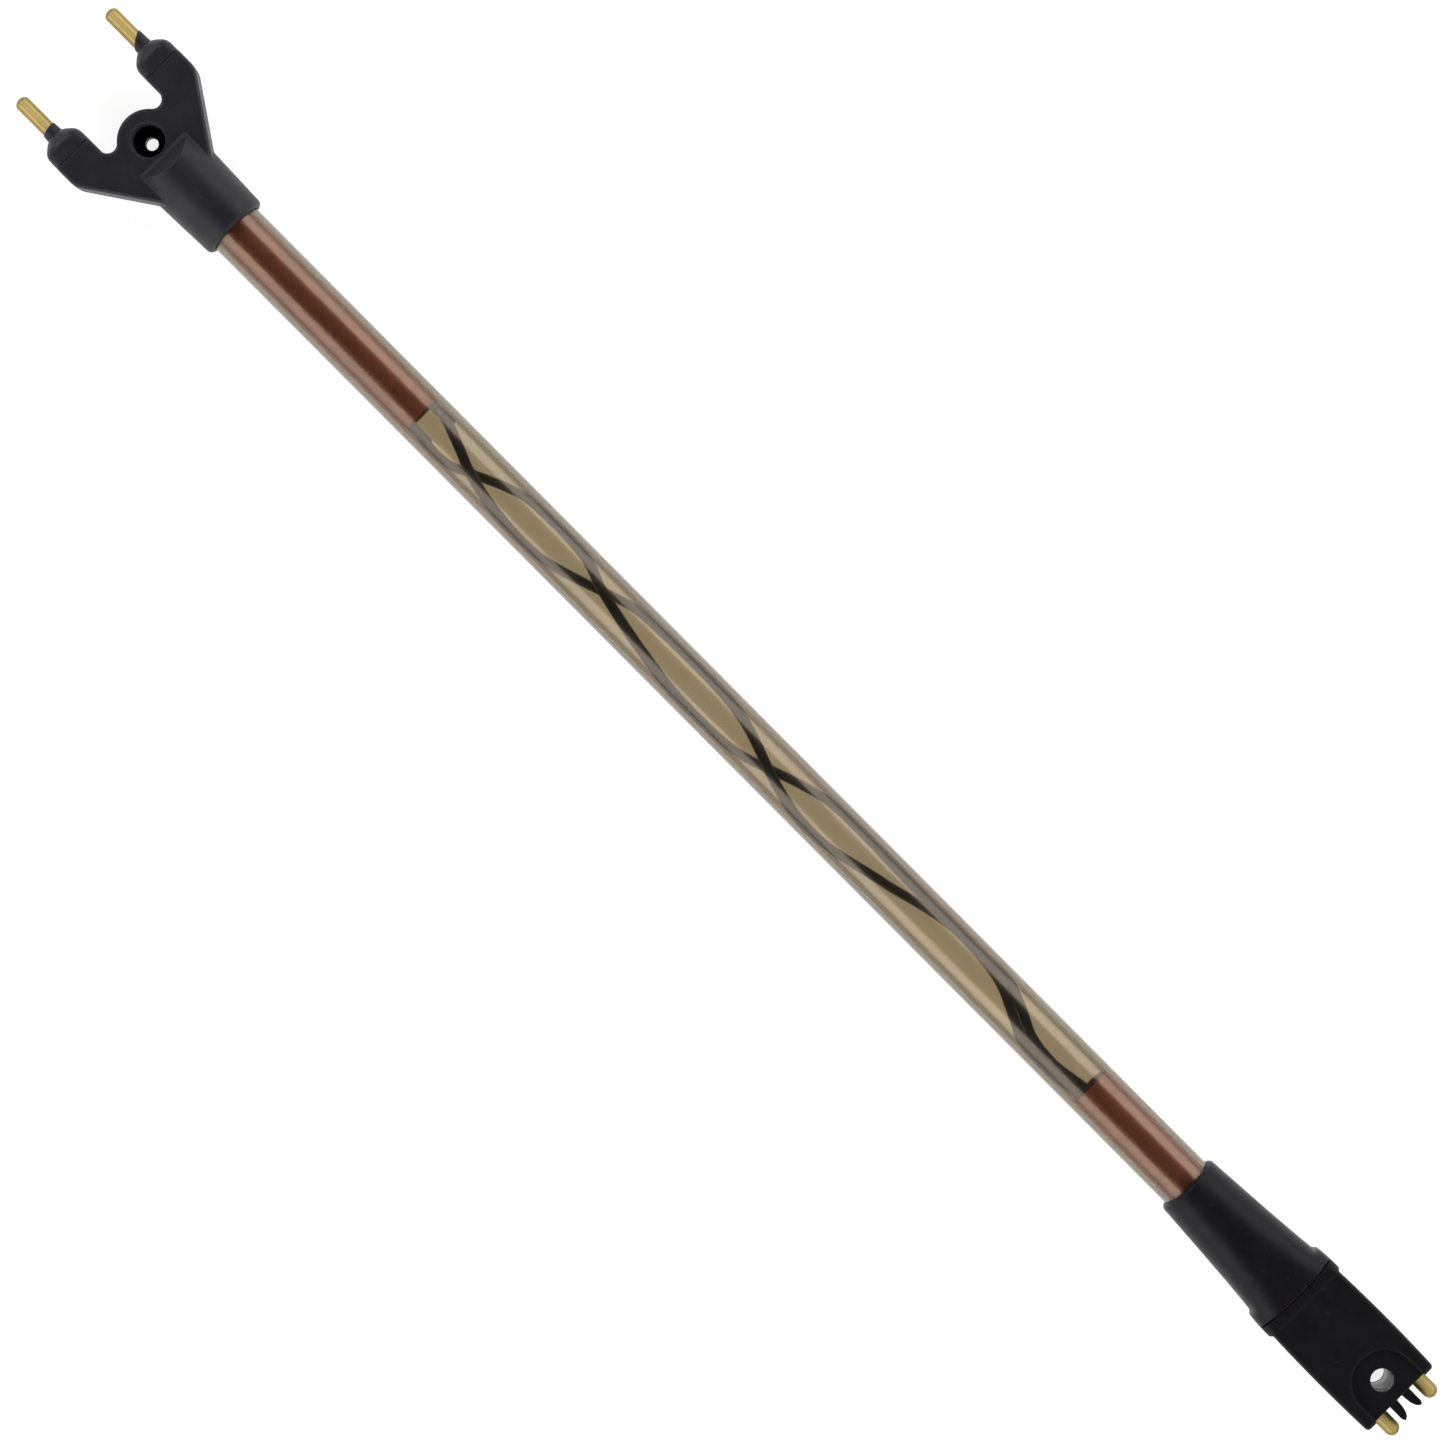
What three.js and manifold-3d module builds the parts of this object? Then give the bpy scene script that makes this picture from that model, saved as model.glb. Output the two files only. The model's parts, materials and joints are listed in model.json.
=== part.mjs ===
// Replacement flexible shaft for a hand-held electric livestock prod: a forked
// head with two brass electrodes, a clear tube stiffened at both ends by copper
// sleeves, two insulated leads inside it, and a plug that enters the handle.
//
// Millimetres. +X runs from the plug to the electrode tips, +Y is the left side
// and +Z is up. The origin is on the surface that the shaft lies on, under the
// middle of its length. Every piece is made around the shaft's own axis, and
// the last group lifts that axis to its height.

import * as THREE from 'three';
import { mergeVertices } from 'three/addons/utils/BufferGeometryUtils.js';
import Module from 'manifold-3d';

const wasm = await Module();
wasm.setup();

// Driving dimensions
const AXIS_HEIGHT = 11.5;
const HALF_LENGTH = 291.4;
const FIT = 0.3;
// A length that reaches past any piece, for cuts that go right through one
const BEYOND = 20;

const TUBE = { front: 240.3, rear: -237.7, outer: 8.7, bore: 7.25 };
const SLEEVE = { outer: 6.85, bore: 6.15, frontEnd: 138.3, rearEnd: -149.1, setBack: 1.5 };
const LEAD = { outer: 1.5, bore: 0.8, core: 0.5, channel: 1.9 };

const HEAD = {
  rim: 217.6,
  rimRadius: 10.8,
  rimRound: 1.1,
  neckRadius: 11.5,
  neckStart: 238.3,
  neckTopEnd: 243.2,
  neckFootEnd: 247.7,
  plateHalf: 6.7,
  plateStart: 236.0,
  plateStartHalf: 9.3,
  armAxis: 19.0,
  armStart: 259.6,
  armEnd: 267.5,
  edge: 1.3,
};
// The arm's outer corner: where it starts and ends, its control point, and its depth
const ARM_BEND = { start: 257.6, control: 259.7, end: 262.0, depth: 1.6 };
const BOSS = { x: 254.1, radius: 9.8, recess: 5.0, recessDepth: 8.85, hole: 2.0, notch: 2.8 };

// A cap's sections: [x, half size, power]. A power of 2 is round, and higher ones are squarer.
const CAP_SECTIONS = [
  [267.8, 6.4, 6], [268.3, 6.7, 6], [271.4, 6.7, 5], [272.4, 6.4, 4.2], [273.6, 5.5, 3.2],
  [274.8, 4.4, 2.6], [275.7, 3.4, 2.1], [276.5, 3.1, 2], [280.7, 3.1, 2],
];
// Where each cap's collar ends, on the right where it is longest and on the left
const COLLAR = { radius: 3.1, leftCapEnd: 279.2, rightCapEnd: 280.7, shortEnd: 277.2 };

const ELECTRODE = { radius: 2.38, rear: 265.4, dome: 1.8 };
const PIN = { radius: 2.45, axis: 8.15, front: -258.0, dome: 2.4 };
const TAIL = { radius: 0.7, length: 3.1 };
const TERMINAL = { outer: 1.9, length: 6.1, gapToShank: 0.4 };
const CONTACT_BORE = 2.7;

// The boot's sections: [x, half width, half height, power]
const BOOT_SECTIONS = [
  [-191.3, 9.4, 9.4, 2], [-191.7, 9.95, 9.95, 2], [-192.7, 10.4, 10.4, 2],
  [-209.1, 11.5, 10.85, 2.15], [-224.7, 12.65, 11.25, 2.5], [-232.9, 13.45, 11.5, 2.9],
  [-233.4, 14.2, 11.6, 3.2], [-234.1, 14.6, 11.7, 3.4], [-237.6, 15.0, 11.7, 3.8],
];
const PLUG = {
  collarFront: -237.9,
  collarRear: -241.4,
  collarHalf: 14.9,
  collarCorner: 3.0,
  collarEdge: 0.8,
  half: 14.0,
  bulge: 0.8,
  halfThickness: 11.1,
  end: -282.4,
  edge: 1.5,
  corner: 2.4,
  neckFront: -229.3,
  neckRadius: 10.2,
};
const SCREW_HOLE = { x: -274.5, radius: 3.57, bushing: 4.6, bushingHalf: 8.0 };
const RECESS = { x: -275.4, radius: 10.3, depth: 1.8, end: -282.0 };
const TEETH = {
  tip: -289.6,
  tipAt: 3.35,
  tipRound: 0.5,
  inner: 1.0,
  outer: 4.1,
  bend: -288.2,
  bendAt: 1.0,
  halfHeight: 5.0,
  edge: 0.25,
};

// Sides of a round section: large, medium and small
const COARSE = 32;
const MEDIUM = 24;
const FINE = 14;
const LEAD_SIDES = { outside: 8, bore: 6 };

// ---- Solids -----------------------------------------------------------------

// A closed geometry as a manifold-3d solid with its faces pointing out.
function solid(geometry) {
  const bare = new THREE.BufferGeometry();
  bare.setAttribute('position', geometry.getAttribute('position'));
  bare.setIndex(geometry.getIndex());
  const merged = mergeVertices(bare, 1e-4);
  const corners = merged.getAttribute('position');
  const index = merged.getIndex().array;
  const [a, b, c] = [new THREE.Vector3(), new THREE.Vector3(), new THREE.Vector3()];
  const triangles = [];
  let volume = 0;
  for (let i = 0; i < index.length; i += 3) {
    const [p, q, r] = index.slice(i, i + 3);
    if (p === q || q === r || r === p) continue;
    triangles.push([p, q, r]);
    a.fromBufferAttribute(corners, p);
    b.fromBufferAttribute(corners, q);
    c.fromBufferAttribute(corners, r);
    volume += a.dot(b.cross(c));
  }
  const outward = volume > 0 ? triangles : triangles.map(([p, q, r]) => [p, r, q]);
  return new wasm.Manifold(new wasm.Mesh({
    numProp: 3,
    vertProperties: new Float32Array(corners.array),
    triVerts: new Uint32Array(outward.flat()),
  }));
}

// A manifold-3d solid as a geometry.
function geometryOf(made) {
  const { vertProperties, triVerts } = made.getMesh();
  const geometry = new THREE.BufferGeometry();
  geometry.setAttribute('position', new THREE.BufferAttribute(vertProperties, 3));
  geometry.setIndex(new THREE.BufferAttribute(triVerts, 1));
  geometry.computeVertexNormals();
  return geometry;
}

// A solid turned about the X axis from [x, radius] points.
function turned(points, sides = COARSE) {
  const profile = points.map(([x, radius]) => new THREE.Vector2(radius, x));
  const geometry = new THREE.LatheGeometry(profile, sides);
  return solid(geometry.rotateZ(-Math.PI / 2));
}

// A round bar along X.
function bar(x0, x1, radius, sides = COARSE) {
  return turned([[x0, 0], [x0, radius], [x1, radius], [x1, 0]], sides);
}

// A round pipe along X.
function pipe(x0, x1, outer, bore, sides = COARSE) {
  return turned([[x0, bore], [x0, outer], [x1, outer], [x1, bore], [x0, bore]], sides);
}

// A round bar along Z, centred at x on the shaft's axis.
function upright(x, z0, z1, radius, sides = COARSE) {
  const geometry = new THREE.CylinderGeometry(radius, radius, z1 - z0, sides);
  return solid(geometry.rotateX(Math.PI / 2).translate(x, 0, (z0 + z1) / 2));
}

function block(x0, x1, y0, y1, z0, z1) {
  const geometry = new THREE.BoxGeometry(x1 - x0, y1 - y0, z1 - z0);
  return solid(geometry.translate((x0 + x1) / 2, (y0 + y1) / 2, (z0 + z1) / 2));
}

// A plan outline made into a plate around the axis plane, with rounded edges.
function plate(outline, halfThickness, edge = 0, edgeSteps = 2) {
  const geometry = new THREE.ExtrudeGeometry(outline, {
    depth: 2 * (halfThickness - edge),
    bevelEnabled: edge > 0,
    bevelThickness: edge,
    bevelSize: edge,
    bevelOffset: -edge,
    bevelSegments: edgeSteps,
    curveSegments: 6,
  });
  return solid(geometry.translate(0, 0, edge - halfThickness));
}

// A loft along X through oval sections [x, half width, half height, power]:
// power 2 is an ellipse, and higher powers are squarer.
function ovalLoft(sections, sides = COARSE) {
  const [first, last] = [sections[0], sections[sections.length - 1]];
  const profile = [
    [first[0], 0],
    ...sections.map(([x]) => [x, 1]),
    [last[0], 0],
  ].map(([x, radius]) => new THREE.Vector2(radius, x));
  const geometry = new THREE.LatheGeometry(profile, sides).rotateZ(-Math.PI / 2);
  const corners = geometry.getAttribute('position');
  for (let i = 0; i < corners.count; i += 1) {
    const x = corners.getX(i);
    const angle = Math.atan2(corners.getZ(i), corners.getY(i));
    const onAxis = Math.hypot(corners.getY(i), corners.getZ(i)) < 0.5;
    const section = sections.find((s) => Math.abs(s[0] - x) < 1e-3);
    const [, halfWidth, halfHeight, power] = section;
    if (onAxis) continue;
    const across = Math.cos(angle);
    const up = Math.sin(angle);
    corners.setY(i, halfWidth * Math.sign(across) * Math.abs(across) ** (2 / power));
    corners.setZ(i, halfHeight * Math.sign(up) * Math.abs(up) ** (2 / power));
  }
  return solid(geometry);
}

// ---- Lead routes ------------------------------------------------------------

// A curve whose samples fall evenly between its points, so close points give
// close rings where a lead bends sharply.
class Route extends THREE.CatmullRomCurve3 {
  getPointAt(u, target) {
    return this.getPoint(u, target);
  }

  getTangentAt(u, target) {
    return this.getTangent(u, target);
  }
}

function ringOutline(radius, sides) {
  return Array.from({ length: sides }, (_, i) => {
    const angle = (2 * Math.PI * i) / sides;
    return new THREE.Vector2(radius * Math.cos(angle), radius * Math.sin(angle));
  });
}

// A wire, or a hollow insulation when a bore is given, along route points.
function cable(points, outer, bore = 0) {
  const section = new THREE.Shape(ringOutline(outer, LEAD_SIDES.outside));
  if (bore > 0) section.holes.push(new THREE.Path(ringOutline(bore, LEAD_SIDES.bore)));
  const geometry = new THREE.ExtrudeGeometry(section, {
    steps: points.length - 1,
    extrudePath: new Route(points),
    bevelEnabled: false,
  });
  return solid(geometry);
}

// Inside the head a lead spreads from the sleeve to its electrode, and inside
// the plug to its contact pin: [x, distance from the axis].
const HEAD_SPREAD = [
  [258.4, 19.0], [257.4, 19.0], [256.2, 18.7], [254.6, 17.9], [251.6, 15.0],
  [248.6, 11.3], [245.4, 7.8], [243.2, 6.0], [241.0, 4.75], [239.2, 4.25], [235.0, 4.2],
];
const PLUG_SPREAD = [
  [-234.0, 4.2], [-237.0, 4.25], [-239.5, 4.8], [-242.5, 6.1], [-245.5, 7.4],
  [-248.0, 8.05], [-249.6, 8.15], [-250.5, 8.15],
];

// Inside the tube each lead lies on the wall and winds round it: [x, degrees
// round the bore from the right side over the top, distance from the axis].
const RIGHT_WINDING = [
  [138.7, 0, 4.4], [133.2, 30, 5.0], [127.2, 62, 5.4], [121.3, 86, 5.5],
  [115.3, 110, 5.5], [105.0, 139, 5.5], [96.4, 160, 5.5], [88.3, 180, 5.5],
  [81.4, 206, 5.5], [74.8, 234, 5.5], [62.6, 280, 5.5], [56.0, 308, 5.5],
  [50.4, 330, 5.5], [39.5, 348, 5.5], [25.6, 362, 5.5], [13.6, 382, 5.5],
  [4.9, 404, 5.5], [-3.9, 434, 5.5], [-11.8, 463, 5.5], [-18.9, 486, 5.5],
  [-25.5, 508, 5.5], [-36.5, 540, 5.5], [-46.8, 580, 5.5], [-56.0, 609, 5.5],
  [-65.1, 631, 5.5], [-73.0, 655, 5.5], [-82.6, 683, 5.5], [-92.6, 703, 5.5],
  [-101.6, 722, 5.5], [-107.7, 743, 5.5], [-113.3, 770, 5.5], [-119.1, 798, 5.5],
  [-126.2, 830, 5.5], [-135.8, 842, 5.5], [-143.9, 833, 5.0], [-149.4, 826, 4.4],
  [-171.1, 795, 4.4], [-189.2, 755, 4.4], [-211.4, 722, 4.4],
];
const LEFT_WINDING = [
  [138.7, 180, 4.4], [133.2, 181, 5.0], [127.2, 188, 5.5], [121.3, 212, 5.5],
  [115.3, 250, 5.5], [105.0, 302, 5.5], [96.4, 340, 5.5], [85.4, 362, 5.5],
  [74.8, 388, 5.5], [68.5, 412, 5.5], [62.6, 436, 5.5], [50.4, 464, 5.5],
  [35.3, 494, 5.5], [23.6, 522, 5.5], [10.6, 545, 5.5], [0.6, 567, 5.5],
  [-11.8, 617, 5.5], [-18.9, 645, 5.5], [-25.5, 670, 5.5], [-32.4, 698, 5.5],
  [-40.5, 720, 5.5], [-50.5, 734, 5.5], [-60.5, 744, 5.5], [-71.5, 750, 5.5],
  [-82.6, 751, 5.5], [-92.6, 753, 5.5], [-101.6, 764, 5.5], [-107.7, 781, 5.5],
  [-113.3, 806, 5.5], [-119.1, 834, 5.5], [-126.2, 868, 5.5], [-135.8, 881, 5.5],
  [-143.9, 877, 5.0], [-149.4, 873, 4.4], [-171.1, 885, 4.4], [-189.2, 900, 4.4],
  [-211.4, 900, 4.4],
];

// side is 1 for the left lead and -1 for the right one.
function leadRoute(side) {
  const winding = side > 0 ? LEFT_WINDING : RIGHT_WINDING;
  const spread = ([x, y]) => new THREE.Vector3(x, side * y, 0);
  const wound = ([x, degrees, distance]) => {
    const angle = THREE.MathUtils.degToRad(degrees);
    return new THREE.Vector3(x, -distance * Math.cos(angle), distance * Math.sin(angle));
  };
  return [...HEAD_SPREAD.map(spread), ...winding.map(wound), ...PLUG_SPREAD.map(spread)];
}

const BARED = { front: 261.8, rear: -254.0 };

function leadInsulation(side) {
  return cable(leadRoute(side), LEAD.outer, LEAD.bore);
}

function leadConductor(side) {
  const front = new THREE.Vector3(BARED.front, side * HEAD.armAxis, 0);
  const rear = new THREE.Vector3(BARED.rear, side * PIN.axis, 0);
  return cable([front, ...leadRoute(side), rear], LEAD.core);
}

// The passages that the leads take through the two moulded pieces.
function headPassage(side) {
  const points = HEAD_SPREAD.map(([x, y]) => new THREE.Vector3(x, side * y, 0));
  const mouth = new THREE.Vector3(HEAD.armStart, side * HEAD.armAxis, 0);
  return cable([mouth, ...points], LEAD.channel);
}

function plugPassage(side) {
  const points = PLUG_SPREAD.map(([x, y]) => new THREE.Vector3(x, side * y, 0));
  const mouth = new THREE.Vector3(BARED.rear, side * PIN.axis, 0);
  return cable([...points, mouth], LEAD.channel);
}

// ---- Contact head -----------------------------------------------------------

// The fork seen from above: arms, round boss, and a notch on each side of it.
function forkOutline() {
  const inner = HEAD.armAxis - HEAD.plateHalf;
  const outer = HEAD.armAxis + HEAD.plateHalf;
  const notchY = inner - BOSS.notch;
  const notchX = BOSS.x + Math.sqrt((BOSS.radius + BOSS.notch) ** 2 - notchY ** 2);
  const touch = Math.atan2(notchY, notchX - BOSS.x);
  const { start, control, end, depth } = ARM_BEND;
  const outline = new THREE.Shape();
  outline.moveTo(HEAD.plateStart, -HEAD.plateStartHalf);
  outline.lineTo(start, -outer + depth);
  outline.quadraticCurveTo(control, -outer, end, -outer);
  outline.lineTo(HEAD.armEnd, -outer);
  outline.lineTo(HEAD.armEnd, -inner);
  outline.absarc(notchX, -notchY, BOSS.notch, -Math.PI / 2, -Math.PI - touch, true);
  outline.absarc(BOSS.x, 0, BOSS.radius, -touch, touch, false);
  outline.absarc(notchX, notchY, BOSS.notch, Math.PI + touch, Math.PI / 2, true);
  outline.lineTo(HEAD.armEnd, inner);
  outline.lineTo(HEAD.armEnd, outer);
  outline.lineTo(end, outer);
  outline.quadraticCurveTo(control, outer, start, outer - depth);
  outline.lineTo(HEAD.plateStart, HEAD.plateStartHalf);
  return outline;
}

// The neck's front face slopes down to the plate, above and below.
function neckLimit() {
  const deep = HEAD.neckRadius + HEAD.edge;
  const slope = (HEAD.neckFootEnd - HEAD.neckTopEnd) / (HEAD.neckRadius - HEAD.plateHalf);
  const topX = HEAD.neckTopEnd - slope * (deep - HEAD.neckRadius);
  const side = new THREE.Shape();
  side.moveTo(HEAD.rim - 1, -deep);
  side.lineTo(topX, -deep);
  side.lineTo(HEAD.neckFootEnd, -HEAD.plateHalf);
  side.lineTo(HEAD.neckFootEnd, HEAD.plateHalf);
  side.lineTo(topX, deep);
  side.lineTo(HEAD.rim - 1, deep);
  const geometry = new THREE.ExtrudeGeometry(side, { depth: 2 * deep, bevelEnabled: false });
  return solid(geometry.rotateX(Math.PI / 2).translate(0, deep, 0));
}

function neck() {
  const { rim, rimRadius, rimRound, neckRadius, neckStart } = HEAD;
  return turned([
    [rim, 0],
    [rim, rimRadius - rimRound],
    [rim + 0.3 * rimRound, rimRadius - 0.4 * rimRound],
    [rim + rimRound, rimRadius],
    [neckStart, neckRadius],
    [HEAD.neckFootEnd + 1, neckRadius],
    [HEAD.neckFootEnd + 1, 0],
  ]).intersect(neckLimit());
}

function contactHead() {
  const top = HEAD.plateHalf;
  let head = plate(forkOutline(), HEAD.plateHalf, HEAD.edge).add(neck());
  head = head.subtract(bar(HEAD.rim - 1, TUBE.front + FIT, TUBE.outer + FIT));
  head = head.subtract(upright(BOSS.x, top - BOSS.recessDepth, top + 1, BOSS.recess));
  head = head.subtract(upright(BOSS.x, -top - 1, top, BOSS.hole, MEDIUM));
  for (const side of [1, -1]) {
    const contactBore = bar(HEAD.armStart - 1, HEAD.armEnd + 1, CONTACT_BORE, MEDIUM);
    head = head.subtract(contactBore.translate([0, side * HEAD.armAxis, 0]));
    head = head.subtract(headPassage(side));
  }
  return head;
}

// A cap closes the end of an arm and grips the electrode with a thin collar,
// which is cut at a slant.
function tipCap(side) {
  const sections = CAP_SECTIONS.map(([x, half, power]) => [x, half, half, power]);
  const collarEnd = side > 0 ? COLLAR.leftCapEnd : COLLAR.rightCapEnd;
  const slant = new THREE.Shape();
  slant.moveTo(collarEnd, -COLLAR.radius);
  slant.lineTo(COLLAR.shortEnd, COLLAR.radius);
  slant.lineTo(COLLAR.shortEnd, BEYOND);
  slant.lineTo(collarEnd + BEYOND, BEYOND);
  slant.lineTo(collarEnd + BEYOND, -BEYOND);
  slant.lineTo(collarEnd, -BEYOND);
  const electrodeBore = bar(HEAD.armEnd - 1, collarEnd + BEYOND, CONTACT_BORE, MEDIUM);
  const cap = ovalLoft(sections, MEDIUM).subtract(plate(slant, BEYOND)).subtract(electrodeBore);
  return cap.translate([0, side * HEAD.armAxis, 0]);
}

// ---- Contacts ---------------------------------------------------------------

// A brass rod with a domed end and a thin tail for its terminal.
function contactRod(tailEnd, rear, tip, radius, dome) {
  const out = Math.sign(tip - rear);
  const domeSteps = 4;
  const points = [[tailEnd, 0], [tailEnd, TAIL.radius], [rear, TAIL.radius], [rear, radius]];
  for (let i = 0; i <= domeSteps; i += 1) {
    const angle = (Math.PI / 2) * (i / domeSteps);
    points.push([tip - out * dome * (1 - Math.sin(angle)), radius * Math.cos(angle)]);
  }
  points[points.length - 1][1] = 0;
  return turned(points, MEDIUM);
}

function electrode(side) {
  const { rear, radius, dome } = ELECTRODE;
  const rod = contactRod(rear - TAIL.length, rear, HALF_LENGTH, radius, dome);
  return rod.translate([0, side * HEAD.armAxis, 0]);
}

function contactPin(side) {
  const { front, radius, dome, axis } = PIN;
  const rod = contactRod(front + TAIL.length, front, -HALF_LENGTH, radius, dome);
  return rod.translate([0, side * axis, 0]);
}

// A barrel that joins a lead's bared end to a contact's tail.
function terminal(rodEnd, out, y) {
  const start = rodEnd - out * TERMINAL.gapToShank;
  const end = start - out * TERMINAL.length;
  const bore = TAIL.radius + FIT;
  const barrel = pipe(Math.min(start, end), Math.max(start, end), TERMINAL.outer, bore, FINE);
  return barrel.translate([0, y, 0]);
}

// ---- Boot and plug ----------------------------------------------------------

// The boot grows from a round rim to a wide oval band that meets the plug's
// collar, and its underside is flat where the shaft rests.
function rearBoot() {
  const rim = BOOT_SECTIONS[0][0];
  const end = BOOT_SECTIONS[BOOT_SECTIONS.length - 1][0];
  const tubeBore = bar(PLUG.neckFront - 1, rim + 1, TUBE.outer + FIT);
  const neckBore = bar(end - 1, PLUG.neckFront + FIT, PLUG.neckRadius + FIT);
  const ground = block(end - 1, rim + 1, -BEYOND, BEYOND, -BEYOND, -AXIS_HEIGHT);
  return ovalLoft(BOOT_SECTIONS).subtract(tubeBore).subtract(neckBore).subtract(ground);
}

// The plug's body seen from above, with slightly bulging sides.
function plugOutline() {
  const { half, end, corner, bulge, collarRear } = PLUG;
  const start = collarRear + 2;
  const middle = (collarRear + end) / 2;
  const outline = new THREE.Shape();
  outline.moveTo(start, -half);
  outline.quadraticCurveTo(middle, -half - bulge, end + corner, -half);
  outline.quadraticCurveTo(end, -half, end, -half + corner);
  outline.lineTo(end, half - corner);
  outline.quadraticCurveTo(end, half, end + corner, half);
  outline.quadraticCurveTo(middle, half + bulge, start, half);
  return outline;
}

function plugCollar() {
  const { collarFront, collarRear, collarHalf, halfThickness } = PLUG;
  const radius = PLUG.collarCorner;
  const edge = PLUG.collarEdge;
  const [y, z] = [collarHalf - radius, halfThickness - radius];
  const section = new THREE.Shape();
  section.absarc(y, z, radius, 0, Math.PI / 2, false);
  section.absarc(-y, z, radius, Math.PI / 2, Math.PI, false);
  section.absarc(-y, -z, radius, Math.PI, 1.5 * Math.PI, false);
  section.absarc(y, -z, radius, 1.5 * Math.PI, 2 * Math.PI, false);
  const geometry = new THREE.ExtrudeGeometry(section, {
    depth: collarFront - collarRear - 2 * edge,
    bevelThickness: edge,
    bevelSize: edge,
    bevelOffset: -edge,
    bevelSegments: 2,
    curveSegments: 4,
  });
  geometry.rotateZ(Math.PI / 2).rotateY(Math.PI / 2).rotateX(Math.PI);
  return solid(geometry.translate(collarRear + edge, 0, 0));
}

// The end face is stepped back across the width of the recess.
function endStep() {
  return block(PLUG.end - 1, RECESS.end, -RECESS.radius, RECESS.radius, -BEYOND, BEYOND);
}

// A recess around the screw hole, open to the plug's end face.
function recess(side) {
  const outline = new THREE.Shape();
  outline.moveTo(RECESS.x, -RECESS.radius);
  outline.absarc(RECESS.x, 0, RECESS.radius, -Math.PI / 2, Math.PI / 2, false);
  outline.lineTo(PLUG.end - 1, RECESS.radius);
  outline.lineTo(PLUG.end - 1, -RECESS.radius);
  const cut = plate(outline, RECESS.depth);
  return cut.translate([0, 0, side * PLUG.halfThickness]);
}

// One of the two pointed teeth between the contact pins.
function tooth(side) {
  const { tip, tipAt, tipRound, inner, outer, bend, bendAt, halfHeight, edge } = TEETH;
  const root = RECESS.end;
  const outline = new THREE.Shape();
  outline.moveTo(root + 1, inner);
  outline.lineTo(root - tipRound, inner);
  outline.quadraticCurveTo(bend, bendAt, tip + tipRound, tipAt - tipRound);
  outline.quadraticCurveTo(tip, tipAt, tip + tipRound, tipAt + tipRound);
  outline.lineTo(tip + 3, outer);
  outline.lineTo(root + 1, outer);
  const left = plate(outline, halfHeight, edge, 1);
  return side > 0 ? left : left.mirror([0, 1, 0]);
}

function plugBody() {
  const { halfThickness, neckFront, neckRadius, collarFront, edge } = PLUG;
  const seat = bar(TUBE.rear - FIT, neckFront + 1, TUBE.outer + FIT);
  let body = plate(plugOutline(), halfThickness, edge, 3).add(plugCollar());
  body = body.add(bar(collarFront - 1, neckFront, neckRadius)).subtract(seat);
  body = body.subtract(recess(1)).subtract(recess(-1)).subtract(endStep());
  for (const side of [1, -1]) {
    body = body.add(tooth(side));
    const contactBore = bar(-HALF_LENGTH, BARED.rear + 3, CONTACT_BORE, MEDIUM);
    body = body.subtract(contactBore.translate([0, side * PIN.axis, 0]));
    body = body.subtract(plugPassage(side));
  }
  const { x, radius, bushing, bushingHalf } = SCREW_HOLE;
  const bushingSeat = upright(x, -bushingHalf - FIT, bushingHalf + FIT, bushing + FIT, MEDIUM);
  const screwHole = upright(x, -BEYOND, BEYOND, radius, MEDIUM);
  return body.subtract(bushingSeat).subtract(screwHole);
}

// The bushing is moulded in, under a lip of the plug at each end.
function plugBushing() {
  const { x, radius, bushing, bushingHalf } = SCREW_HOLE;
  const outside = upright(x, -bushingHalf, bushingHalf, bushing, MEDIUM);
  return outside.subtract(upright(x, -bushingHalf - 1, bushingHalf + 1, radius, MEDIUM));
}

// ---- Assembly ---------------------------------------------------------------

const MATERIALS = {
  moulding: [0x2b2a2d, 0.55, 0],
  plugMoulding: [0x19181a, 0.45, 0],
  clearTube: [0xa49878, 0.12, 0],
  copper: [0xa5694f, 0.3, 1],
  brass: [0xcdb064, 0.3, 1],
  insulation: [0x222325, 0.45, 0],
  steel: [0xa8a9ab, 0.35, 1],
};

const shaft = new THREE.Group();
shaft.position.z = AXIS_HEIGHT;

function place(name, made, look) {
  const [color, roughness, metalness] = MATERIALS[look];
  const material = new THREE.MeshStandardMaterial({ color, roughness, metalness });
  if (look === 'clearTube') {
    material.transparent = true;
    material.opacity = 0.35;
  }
  const mesh = new THREE.Mesh(geometryOf(made), material);
  mesh.name = name;
  shaft.add(mesh);
}

place('contact_head', contactHead(), 'moulding');
place('shaft_tube', pipe(TUBE.rear, TUBE.front, TUBE.outer, TUBE.bore), 'clearTube');
place(
  'front_copper_sleeve',
  pipe(SLEEVE.frontEnd, TUBE.front - SLEEVE.setBack, SLEEVE.outer, SLEEVE.bore),
  'copper',
);
place(
  'rear_copper_sleeve',
  pipe(TUBE.rear + SLEEVE.setBack, SLEEVE.rearEnd, SLEEVE.outer, SLEEVE.bore),
  'copper',
);
place('rear_boot', rearBoot(), 'moulding');
place('plug_body', plugBody(), 'plugMoulding');
place('plug_bushing', plugBushing(), 'steel');
for (const [word, side] of [['left', 1], ['right', -1]]) {
  place(`${word}_tip_cap`, tipCap(side), 'moulding');
  place(`${word}_electrode`, electrode(side), 'brass');
  place(
    `${word}_electrode_terminal`,
    terminal(ELECTRODE.rear, 1, side * HEAD.armAxis),
    'brass',
  );
  place(`${word}_lead_insulation`, leadInsulation(side), 'insulation');
  place(`${word}_lead_conductor`, leadConductor(side), 'copper');
  place(`${word}_contact_pin`, contactPin(side), 'brass');
  place(`${word}_contact_terminal`, terminal(PIN.front, -1, side * PIN.axis), 'brass');
}

const part = new THREE.Group();
part.add(shaft);

export default part;
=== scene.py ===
"""Replacement flexible shaft for a livestock prod: the visual model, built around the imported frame.

Shapes are worked out in millimetres around the shaft's axis, with x along it, y to the left and
z up from the axis. add_piece() moves them to the shared frame, in metres.
"""

import json
import math

import bpy
import numpy as np
from mathutils import Matrix, Vector


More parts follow.
